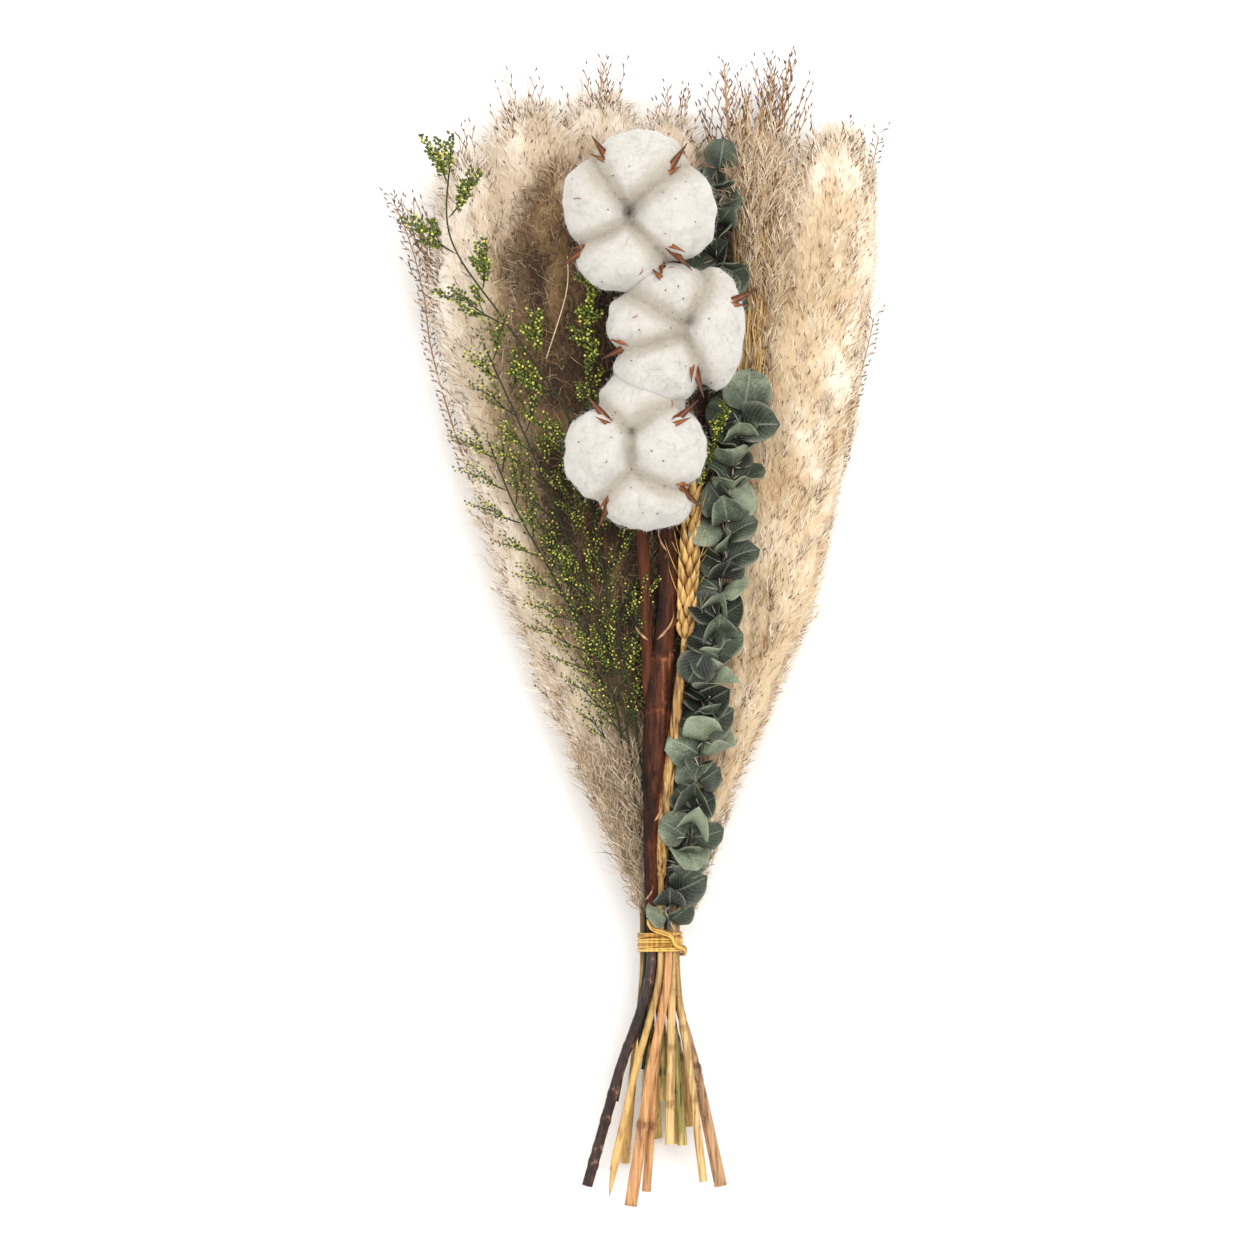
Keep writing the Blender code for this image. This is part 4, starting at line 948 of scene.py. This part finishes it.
def make_cotton_branch(surfaces):
    """The branch with its two forks, and the open burs, whose bracts bend up over the lint."""
    growth, draw, course = started(100, "cotton")
    middle = {name: np.array((*place, BUR_Z)) for name, (place, _) in BOLLS.items()}
    # The branch swells above the tie and ends in the top boll's bur.
    points, _ = stalk_line(course, course.cut_y, course.tip_y, 1.0)
    radii = np.interp(points[:, 1], BARK_YS, BARK_RADII)
    points[:, 0] += 1.5 * bell(points[:, 1], 15.0, 32.0)
    points[-1] = middle["top"]
    sides = 18
    ys = points[:, 1:2]
    size = rough_bark(points, radii, sides, draw)
    # Painted light and shade: the branch is toned lighter on its right side and darker on its left.
    painted_light = np.cos(2 * math.pi * np.arange(sides) / sides)[None]
    collar = np.exp(-np.clip((ys + 12.0) / -7.0, 0.0, None)) * (ys < -12.0)
    tone = 0.42 - 0.1 * np.clip((WAIST[1] - ys) / 12.0, 0.0, 1.0) + 0.2 * painted_light + 0.35 * collar
    for scar, swell in SCARS:
        ragged = scar + 0.8 * np.sin(3 * np.arccos(painted_light) + scar)
        size *= 1.0 + swell * bell(ys, ragged, 1.1)
        tone = tone + 2.8 * swell * bell(ys, ragged + 0.8, 0.6)
    cut = int(np.sum(ys < WAIST[1]))
    for finish, part in (("dark_stem", slice(cut + 1)), ("bark", slice(cut - 1, None))):
        growth.bars(points[part], size[None, part], finish, tone[None, part], sides=sides)
    for way, thick in (([course.at(92.0), (17.0, 108.0, 49.0), middle["middle"]], FORK_RADIUS),
                       ([(7.0, -34.0, 38.0), (5.4, -24.0, 41.5), (4.8, 11.0, 44.5), (2.4, 48.0, 47.0),
                         middle["bottom"]], LOW_FORK_RADIUS)):
        line = smooth_way(way, 2.5)
        size = rough_bark(line, np.full(len(line), thick), 12, draw)
        growth.bars(line, size[None], "bark", 0.56, sides=12)
    for *ends, thick in SPLINTERS:
        root, tip = (np.array((x, y, course.at(y)[2] + np.interp(y, BARK_YS, BARK_RADII) * 0.92))
                     for x, y in ends)
        aside = 0.3 * (tip[1] - root[1]) * np.sign(tip[0] - root[0])
        tip = tip + UP * 2.0
        line = arc(root, (root + tip) / 2 + (aside, 0.0, 0.0), tip, 5)
        slimming = np.array((1.0, 1.3, 1.0, 0.8, 0.5, 0.2))
        growth.bars(line, thick * slimming, "tan_straw", 0.6, sides=5, flat=0.6)
    stub = smooth_way([course.at(-5.0), (14.5, 0.0, 45.0), (17.0, 3.5, 46.5)], 1.0)
    growth.bars(stub, np.linspace(1.4, 1.0, len(stub)), "bark", 0.75, sides=8)
    corners, faces, side = blade((6, 16), bract_outline, bract_fold, 0.035)
    for name, tips in BRACTS.items():
        base = middle[name]
        cup = np.stack([base + (0.0, 0.0, z) for z in (-3.0, -3.0, -1.0, 1.0, 2.0, 2.0)])
        growth.bars(cup, (2.0, 2.4, 4.2, 5.8, 6.0, 6.0), "bract", 0.2, sides=12)
        for x, y in tips:
            place = np.array((x, y, 0.0))
            line, face = under_lint(surfaces[name], base, unit(place))
            growth.add(following(corners, line, face, 34.0)[None], faces, "bract", 0.5, corners[:, 1], side)
            side_way = draw.choice((-1.0, 1.0)) * draw.uniform(0.25, 0.7)
            for aside, size, wide, dark in ((draw.uniform(-0.15, 0.15), draw.uniform(13.5, 17.0), 12.0, 0.1),
                                            (side_way, draw.uniform(6.5, 10.0), 8.0, 0.9)):
                line = over_lint(surfaces[name], base, place, aside, size)
                leaf = following(corners, line, UP + 0 * line, wide)
                growth.add(leaf[None], faces, "bract", dark, corners[:, 1], side)
    growth.piece("cotton_branch", "cotton_wood", "cotton", sharp=60)


FUZZ = 2900
FIBRES = 500
SPECKS = 14
TRASH = 4
LINT_GRAIN = 1.3
CREASE = 1.8
# The pit in each boll: its (x, y) from the boll's middle, and how deep it is, which also sets how dark the
# shade painted into it is.
PITS = {"top": (-4.0, -1.2, 1.0), "middle": (3.2, 2.4, 0.6), "bottom": (-1.0, 8.0, 0.45)}
PIT_WIDE = 1.9
PIT_DEEP = 11.0


def hollowness(corners, locks):
    """How near each corner is to where two locks meet, from 0 to 1."""
    depths = np.sort([np.linalg.norm((corners - place) / size, axis=1) for place, size in locks], axis=0)
    return np.clip(1.0 - (depths[1] - depths[0]) / 0.5, 0.0, 1.0) ** 2


def felted_locks(locks):
    """Locks of lint merged to one lumpy mesh: its corners, their normals and its triangles."""
    bm = bmesh.new()
    for place, size in locks:
        matrix = Matrix.Translation(Vector(place)) @ Matrix.Diagonal((*size, 1.0))
        bmesh.ops.create_icosphere(bm, subdivisions=4, radius=1.0, matrix=matrix)
    rough = bpy.data.meshes.new("rough")
    bm.to_mesh(rough)
    holder = shown("rough", rough)
    remesh = holder.modifiers.new("remesh", "REMESH")
    remesh.mode = "VOXEL"
    remesh.voxel_size = LINT_GRAIN
    graph = bpy.context.evaluated_depsgraph_get()
    bm.clear()
    bm.from_mesh(holder.evaluated_get(graph).to_mesh())
    bpy.data.objects.remove(holder)
    bpy.data.meshes.remove(rough)
    every_way = {"use_axis_x": True, "use_axis_y": True, "use_axis_z": True}
    for _ in range(5):
        bmesh.ops.smooth_vert(bm, verts=bm.verts, factor=0.5, **every_way)
    bm.normal_update()
    for v in bm.verts:
        lumps = [noise.noise(v.co * fine) * high
                 for fine, high in ((0.1, 1.5), (0.2, 0.8), (0.45, 0.22), (0.8, 0.08))]
        v.co += v.normal * (lumps[0] + sum(lumps[1:]))
    bm.normal_update()
    return triangles_of(bm)


def make_lint(name, number):
    """A boll's locks of lint, felted together, with loose fibres and a few specks of trash."""
    growth, draw, _ = started(120 + number, "cotton")
    (x, y), shapes = BOLLS[name]
    locks = [(np.array((x, y, BUR_Z)) + np.array(offset) * (LOCK_DRAWN_IN, LOCK_DRAWN_IN, 1.0),
              LOCK_PLUMP * np.array(radii)) for offset, radii in shapes]
    corners, normals, faces = felted_locks(locks)
    hollow = hollowness(corners, locks)
    corners -= normals * (CREASE * hollow)[:, None]
    pit_x, pit_y, deep = PITS[name]
    pit = bell(np.hypot(corners[:, 0] - x - pit_x, corners[:, 1] - y - pit_y), 0.0, PIT_WIDE)
    pit = pit * np.clip((corners[:, 2] - BUR_Z - 12.0) / 8.0, 0.0, 1.0) * deep
    corners[:, 2] -= PIT_DEEP * pit
    hollow = np.maximum(hollow, 0.9 * pit)
    # The lint is painted greyer in the creases where locks meet and in the pit: painted shade.
    growth.add(corners[None], faces, "lint", 0.75 - (0.34 + 0.14 * deep) * hollow)

    def lying(which, height):
        """Roots of fibres at this height on the lint, the ways out there and ways along it."""
        lift = normals[which]
        return corners[which] + lift * height, lift, unit(np.cross(lift, scattered(draw, len(which))))

    which = draw.integers(0, len(corners), FUZZ)
    root, lift = corners[which] - normals[which] * 0.2, normals[which]
    way = unit(lift * 0.5 + scattered(draw, FUZZ))
    size = draw.uniform(0.8, 2.6, FUZZ)[:, None]
    tip = root + way * size * 0.85 + scattered(draw, FUZZ) * size * 0.3
    # Fuzz in the creases is painted darker: painted shade.
    growth.bars(arc(root, root + way * size * 0.55 + lift * 0.5, tip, 2), (0.0, 0.06, 0.0), "lint",
                0.8 - 0.4 * hollow[which], facing=scattered(draw, FUZZ))
    which = draw.integers(0, len(corners), FIBRES)
    root, lift, way = lying(which, -0.1)
    aside = np.cross(way, lift) * draw.uniform(-1.0, 1.0, (FIBRES, 1))
    size = draw.uniform(4.0, 9.0, FIBRES)[:, None]
    bend = root + way * size * 0.5 + aside * 2.0 + lift * 1.1
    # Fibres in the creases are painted darker: painted shade.
    growth.bars(arc(root, bend, root + way * size - lift * 0.6, 3), (0.0, 0.07, 0.07, 0.0), "lint",
                0.85 - 0.4 * hollow[which], flat=0.5, facing=lift)
    upper = np.flatnonzero(normals[:, 2] > 0.45)
    root, lift, way = lying(draw.choice(upper, SPECKS), -0.1)
    tip = root + way * draw.uniform(0.5, 1.0, SPECKS)[:, None]
    growth.bars(arc(root, root + lift * 0.3, tip, 2), (0.0, 0.34, 0.0), "seed", 0.1, sides=5)
    root, lift, way = lying(draw.choice(upper, TRASH), 0.1)
    reach = way * draw.uniform(3.0, 5.5, TRASH)[:, None]
    bend = root + reach * 0.5 + np.cross(way, lift) * 1.2 + lift * 0.5
    growth.bars(arc(root, bend, root + reach, 4), (0.0, 0.2, 0.22, 0.15, 0.0), "seed", 0.75, sides=4)
    growth.piece(f"cotton_{name}", "cotton_lint", f"lint_{name}")
    return BVHTree.FromPolygons(corners.tolist(), faces.tolist())


AWNS = 40
# The foot of the straw is split into strips: where each starts and ends, how far aside, how wide.
SPLIT_FOOT = [(-196, -228.5, 0.5, 1.7), (-196, -218, -1.4, 1.2), (-194, -213, 1.3, 1),
              (-181, -164, -2.8, 0.9)]
# The sheaths of two leaves: where each starts and ends, how wide it is and how high it lies.
SHEATHS = ((-104, -38, 2.7, 0.4), (-66, -6, 2.2, 0.9))
GRAIN_LEVELS = 15


def make_wheat():
    """A straw with its ear: grains in rows up both sides, and fine awns."""
    growth, draw, course = started(130, "wheat")
    points, radii = stalk_line(course, course.cut_y + 13.0, course.tip_y - 3.0, 3.0)
    radii = radii * np.clip((points[:, 1] - points[0, 1]) / 14.0, 0.3, 1.0)
    growth.bars(points, radii, "straw", 0.55, sides=10)
    share = np.linspace(0.0, 1.0, 8)
    for root_y, tip_y, aside, wide in SPLIT_FOOT:
        strip = course.points(root_y + (tip_y - root_y) * share)
        strip[:, 0] += aside * share ** 1.3
        growth.bars(strip, wide * np.array((0.6, 1.0, 1.0, 0.95, 0.85, 0.7, 0.45, 0.1)), "straw",
                    draw.uniform(0.5, 0.9), sides=6, flat=0.6)
    for low, high, wide, lift in SHEATHS:
        swell = wide * np.sin(np.linspace(0.15, 0.93, 14) * math.pi) ** 0.5
        sheath = course.points(np.linspace(low, high, 14)) + UP * lift
        growth.bars(sheath, swell, "sheath", 0.45, sides=8, flat=0.4)
    grains = []
    for level in range(GRAIN_LEVELS):
        share = level / (GRAIN_LEVELS - 1)
        y = EAR_LOW + (course.tip_y - EAR_LOW) * share * 0.9
        node, ahead = course.points(y), course.headings(y)
        for k in range(5):
            out = outward(ahead, math.radians(18 + 72 * k + 36 * (level % 2)) + draw.uniform(-0.15, 0.15))
            root = node + out * 0.5
            tip = root + ahead * draw.uniform(9.0, 11.0) + out * 3.9 * (1.0 - 0.5 * abs(share - 0.4))
            grains.append((root, tip, out))
    root, tip, out = np.array(grains).swapaxes(0, 1)
    tone = 0.45 + 0.5 * draw.random((len(root), 1)) + np.linspace(-0.45, 0.3, 6)
    lines = arc(root, (root + tip) / 2 + out * 1.5, tip, 5)
    growth.bars(lines, (0.0, 1.0, 1.55, 1.3, 0.6, 0.0), "grain", tone, sides=6, flat=0.75, facing=out)
    picked = draw.choice(len(root), AWNS, replace=False)
    root, tip, out = root[picked], tip[picked], out[picked]
    ahead = unit(tip - root)
    far = tip + ahead * draw.uniform(8.0, 18.0, (AWNS, 1)) + out * 1.5
    growth.bars(arc(tip - ahead, (tip + far) / 2 + out, far, 4), (0.0, 0.24, 0.18, 0.12, 0.0), "grain", 0.7)
    growth.piece("wheat_ear", "wheat", "wheat")


LEAFY_JOINT_Y = -199.0
# The last two leaves of a stem: the one up and the one down.
LAST_WAYS = ((0.15, 1.0, 0.12), (-0.45, -1.0, -0.05))


def leaf_outline(along):
    """Half the width of a round eucalyptus leaf, as a share of its length."""
    return 0.56 * math.sqrt(max(0.0, 1.0 - (2.0 * along - 1.0) ** 2)) ** 0.9 * (1.08 - 0.16 * along) + 0.004


def leaf_fold(across, along):
    return 0.14 * abs(across) * math.sin(math.pi * along) - 0.1 * (along - 0.3) ** 2


def placed(corners, root, ahead, facing, size):
    """A blade's corners set at a root, pointing ahead, with its upper face towards facing."""
    ahead = unit(np.asarray(ahead, float))
    side = unit(np.cross(ahead, facing))
    turned = corners[:, :1] * side + corners[:, 1:2] * ahead + corners[:, 2:] * np.cross(side, ahead)
    return np.asarray(root, float) + size * turned


def make_eucalyptus(name, number, first_y, last_y, pairs, sizes):
    """A stem with its round leaves in crossed pairs, many of them cupped or turned."""
    growth, draw, course = started(140 + number, name)
    points, radii = stalk_line(course, course.cut_y, course.tip_y, 1.5)
    cut = int(np.sum(points[:, 1] < WAIST[1]))
    joint = bell(points[:, 1], LEAFY_JOINT_Y, 1.8)[:cut + 2]
    low_radii, tone = radii[:cut + 2] * (1.0 + 0.2 * joint), 0.55 - 0.5 * joint
    growth.bars(points[:cut + 2], low_radii, "orange_stem", tone[None], sides=12)
    growth.bars(points[cut:], radii[cut:] * 0.5, "leaf_stem", 0.2, sides=8)
    corners, faces, across = blade((10, 10), leaf_outline, leaf_fold, 0.025)
    across = np.clip(across, -1.0, 1.0)
    for k in range(pairs):
        share = k / (pairs - 1)
        y = first_y + (last_y - first_y) * share
        node, ahead = course.points(y), course.headings(y)
        length = float(np.interp(share, *sizes)) * draw.uniform(0.8, 1.15)
        crossed = math.radians((5.0, 78.0)[k % 2]) + draw.uniform(-0.4, 0.4)
        last = k == pairs - 1
        if not last:
            spray = unit(scattered(draw, 3) * (1.0, 1.0, 0.5) + ahead * 0.4)
            root = np.tile(node, (3, 1)) + UP * draw.uniform(1.0, 4.0, (3, 1))
            tip = root + spray * draw.uniform(4.0, 8.0, (3, 1))
            growth.bars(arc(root, (root + tip) / 2 + UP * 1.5, tip, 3), (0.3, 0.3, 0.22, 0.0), "leaf_stem",
                        draw.uniform(0.5, 1.0, 3))
        for opposite, last_way in zip((0.0, math.pi), LAST_WAYS):
            out = outward(ahead, crossed + opposite)
            low = out[2] < -0.4
            way = unit(out + ahead * draw.uniform(0.2, 1.0) + UP * (0.0 if low else 0.25))
            facing = ahead * draw.uniform(-0.5, 1.0) + UP * draw.uniform(0.2, 1.4)
            facing = facing - out * draw.uniform(-0.3, 0.5)
            if last:
                way, facing = unit(np.array(last_way)), UP
            bent = corners.copy()
            bend, cup, fold = draw.uniform((-0.6, -0.9, -0.5), (0.35, 1.3, 0.7)) * (0.5 if last else 1.0)
            bent[:, 2] += bend * bent[:, 1] ** 2 + cup * bent[:, 0] ** 2 + fold * np.abs(bent[:, 0])
            crease = np.sin(7.0 * bent[:, 1] + 4.0 * bent[:, 0] + draw.uniform(0.0, 6.0))
            bent[:, 2] += 0.05 * crease * (0.4 + np.abs(across))
            leaf = placed(bent, node + out * 0.5 + UP * 1.4, way, facing, length)
            # Leaves that point down, and three in ten of the rest, are painted dark as shade under and
            # between the leaves; the back stem's leaves are painted darker still, as shade deep in the
            # bunch.
            tone = draw.uniform(0.0, 0.3) if low or draw.random() < 0.3 else draw.uniform(0.3, 0.95)
            if name == "eucalyptus_back":
                tone *= 0.5
            dry = draw.random() < (0.12 if low else 0.0)
            growth.add(leaf[None], faces, "dry_leaf" if dry else "leaf", tone, corners[:, 1], across)
    if name == "eucalyptus_front":
        leaf = placed(corners, (28.0, -10.0, 47.0), (-0.55, -1.0, -0.1), UP, 14.0)
        growth.add(leaf[None], faces, "leaf", 0.1, corners[:, 1], across)
    growth.piece(name.replace("eucalyptus", "gum_leaves"), "eucalyptus", name)


# How large the florets are and how many of them are yellow, by the Y where their spike starts
BUD_YS = (60, 140)
BUD_SIZES = (0.72, 1.1)
YELLOW_SHARES = (0.42, 0.24)
SPIKE_LENGTH = 9.5
# A twig that passes behind the branch and shows its florets between the bottom boll and the leaves.
FAR_TWIG = [(-8, 5, 42), (12, 35, 37), (27, 58, 50), (31, 72, 54), (37, 86, 55)]
# A twig that comes out from under the bottom boll and ends left of the middle one.
INNER_TWIG = [(-12, 60, 50), (-16, 84, 53), (-18.5, 103, 56), (-17, 120, 58), (-17, 137, 59)]


def make_statice(name, number, first_y, branches, reach, fuller_side):
    """A wiry spray: forked side twigs in a flat fan, with spikes of small florets at their ends."""
    growth, draw, course = started(160 + number, name)
    points, radii = stalk_line(course, course.cut_y, course.tip_y, 3.0)
    growth.bars(points, radii * 0.62, "green_stem", 0.4, sides=6)
    lines, thick, spikes = [], [], []
    for k in range(branches):
        share = k / branches
        y = first_y + (course.tip_y - first_y) * share
        node, ahead = course.points(y), course.headings(y)
        turn = 1 if k % 2 else -1
        length = reach * (1.0 - 0.55 * share) * draw.uniform(0.7, 1.15)
        side = outward(ahead, 0.0)
        aside = side * turn * (0.75 if turn == fuller_side else 0.45)
        way = unit(ahead + aside + UP * draw.uniform(-0.1, 0.3))
        tip = node + way * length
        line = arc(node, node + unit(ahead + aside * 1.6) * length * 0.5, tip, 6)
        lines.append(line)
        thick.append(0.42)
        spikes.append((tip - way * 3.0, unit(way + ahead * 0.5), 1.0))
        for j, at in enumerate((2, 3, 5)):
            fork = unit(way + side * draw.uniform(0.3, 0.8) * (1 if (j + k) % 2 else -1)
                        + UP * draw.uniform(-0.2, 0.4) + ahead * 0.2)
            run = length * draw.uniform(0.22, 0.42)
            end = line[at] + fork * run
            lines.append(arc(line[at], line[at] + (fork + way) * run * 0.3, end, 6))
            thick.append(0.28)
            spikes.append((end - fork * 2.0, unit(fork + way * 0.4), draw.uniform(0.6, 1.0)))
    spikes.append((course.points(course.tip_y - 6.0), course.headings(course.tip_y - 3.0), 1.2))
    if name == "statice_upper":
        for twig, bend_out in ((FAR_TWIG, 1.0), (INNER_TWIG, 2.0)):
            start, *_, far = np.array(twig[2:])
            for k in range(12):
                spot = start + (far - start) * k / 11
                way = np.array((bend_out * draw.uniform(-1.0, 0.6), 1.0, 0.3))
                spikes.append((spot, unit(way), bend_out ** 0.4 * draw.uniform(0.4, 0.7)))
    slimming = np.array((1.0, 1.0, 0.95, 0.9, 0.8, 0.7, 0.4))
    growth.bars(np.array(lines), np.array(thick)[:, None] * slimming, "green_stem",
                0.3 + 0.4 * draw.random(len(lines)))
    base, way, size = (np.array(part) for part in zip(*spikes))
    each = 26 if name == "statice_upper" else 14
    lot = len(base) * each
    which = np.repeat(np.arange(len(base)), each)
    foot, ahead = base[which], way[which]
    bud = np.interp(foot[:, 1:2], BUD_YS, BUD_SIZES)
    place = np.tile(np.linspace(-0.3, 1.0, each), len(base)) * size[which] * SPIKE_LENGTH
    turn = np.tile(np.arange(each) * GOLDEN_ANGLE, len(base)) + draw.uniform(-0.5, 0.5, lot)
    out = outward(ahead, turn)
    root = foot + ahead * place[:, None] + out * draw.uniform(0.1, 0.55, (lot, 1)) * bud
    grow = unit(out + ahead * 0.8 + 0.5 * scattered(draw, lot))
    grow = grow * (draw.uniform(1.4, 2.4, (lot, 1)) * bud)
    yellow = draw.random((lot, 1)) < np.interp(foot[:, 1:2], BUD_YS, YELLOW_SHARES)
    tone = np.where(yellow, (0.3, 0.65, 1.05), (0.2, 0.35, 0.55)) + draw.uniform(-0.15, 0.15, (lot, 1))
    growth.barbs(root, grow, 0.7 * bud, "floret", tone, sides=5, facing=scattered(draw, lot))
    if name == "statice_upper":
        for twig in (FAR_TWIG, INNER_TWIG):
            line = smooth_way(twig, 3.0)
            growth.bars(line, np.full(len(line), 0.4), "green_stem", 0.5)
    spines = np.stack([base - way * 1.5, base, base + way * size[:, None] * SPIKE_LENGTH], axis=1)
    growth.bars(spines, (0.0, 0.3, 0.0), "green_stem", 0.4)
    growth.piece(name.replace("statice", "statice_spray"), "statice", name)


def wrapped(angle, lift, y):
    """A point of the raffia's middle line, this lift above the stalks."""
    out = Vector((math.cos(angle), math.sin(angle)))
    slot, radius = max(((Vector(s[0]), s[1]) for s in STALKS.values()), key=lambda c: c[0].dot(out) + c[1])
    place = slot + (radius + GAP + RAFFIA_THICK / 2 + lift) * out
    return WAIST[0] + place.x, y, WAIST[2] + place.y


def make_raffia():
    """Raffia wound round the stalks, each turn of four fibrous strands, its end led over the turns."""
    growth, draw, _ = started(180, "cotton")
    top_y = WAIST[1] + TIE_PITCH * TIE_TURNS / 2
    foot_y = top_y - TIE_PITCH * TIE_TURNS
    wound = []
    for k in range(TIE_TURNS * TIE_STEPS + 1):
        turns = k / TIE_STEPS
        wound.append(wrapped(TIE_START + 2 * math.pi * turns, 0.0, top_y - TIE_PITCH * turns))
    for k in range(1, TAIL_STEPS + 1):
        share = k / TAIL_STEPS
        lifted = min(1.0, share / TAIL_LIFTED)
        risen = max(0.0, (share - TAIL_LIFTED) / (1.0 - TAIL_LIFTED)) ** 1.5
        y = foot_y - TAIL_DIP * lifted + (top_y - foot_y + TAIL_RISE) * risen
        wound.append(wrapped(TIE_START + TAIL_SWEEP * share, (RAFFIA_THICK + GAP) * lifted, y))
    wound = evened(np.array(wound), 5)
    out = unit((wound - (WAIST[0], 0.0, WAIST[2])) * (1.0, 0.0, 1.0))
    along = np.arange(len(wound))
    for strand in range(4):
        phase = strand * math.pi / 2
        line = wound.copy()
        line[:, 1] += 0.5 * np.sin(along * 0.09 + phase) + (strand - 1.5) * 0.28
        line += out * (0.22 * np.cos(along * 0.09 + phase))[:, None]
        width = 0.42 + 0.06 * np.sin(along * 0.31 + strand)
        growth.bars(line, width, "raffia", draw.uniform(0.3, 0.8), sides=6, flat=0.75)
    growth.piece("raffia_binding", "raffia", "raffia_tie")


def make_floor():
    """A pale table top, wide enough to fill the view."""
    bm = bmesh.new()
    bmesh.ops.create_grid(bm, x_segments=1, y_segments=1, size=4.0)
    mesh = bpy.data.meshes.new("floor")
    bm.to_mesh(mesh)
    bm.free()
    finish = Finish("floor", Roughness=0.9, Base_Color=rgb("faf9f7"))
    mesh.materials.append(finish.material)
    floor = shown("floor", mesh)


def make_light(name, place, size, power):
    light = bpy.data.lights.new(name, "AREA")
    light.shape = "DISK"
    light.size = size
    light.energy = power
    lamp = shown(name, light)
    lamp.location = place
    lamp.rotation_euler = (-Vector(place)).to_track_quat("-Z", "Y").to_euler()


def make_room():
    """Pale even light all round."""
    world = bpy.data.worlds.new("room")
    world.use_nodes = True
    sockets = world.node_tree.nodes["Background"].inputs
    sockets["Color"].default_value = (1.0, 0.99, 0.98, 1.0)
    sockets["Strength"].default_value = 0.7
    bpy.context.scene.world = world
    bpy.context.scene.view_settings.view_transform = "Standard"


def make_camera():
    """Straight above the bunch with a long lens, as the photograph was taken."""
    camera = bpy.data.cameras.new("camera")
    camera.sensor_width = SENSOR
    camera.lens = SENSOR * FOCUS_FAR / VIEW_WIDTH
    seen = shown("camera", camera)
    seen.location = (-0.0028, 0.0002, 6.0)
    bpy.context.scene.camera = seen


for number, name in enumerate(PLUMES):
    make_plume(name, number)
    make_plume_stalk(name, number)
make_cotton_branch({name: make_lint(name, number) for number, name in enumerate(BOLLS)})
make_wheat()
make_eucalyptus("eucalyptus_front", 0, -116.5, 86.0, 38,
                ([0.0, 0.06, 0.25, 0.5, 0.8, 0.95, 1.0], [11.0, 13.0, 12.5, 12.5, 12.0, 12.0, 21.0]))
make_eucalyptus("eucalyptus_back", 1, 96.0, 183.0, 13, ([0.0, 1.0], [15.0, 11.0]))
make_statice("statice_lower", 0, -50.0, 19, 27.0, -1)
make_statice("statice_middle", 1, -46.0, 22, 27.0, 1)
make_statice("statice_upper", 2, -22.0, 15, 29.0, 1)
make_raffia()
make_floor()
make_light("key", (0.6, 0.6, 1.9), 2.2, 42.0)
make_light("fill", (-1.3, -0.4, 1.5), 2.2, 14.0)
make_room()
make_camera()
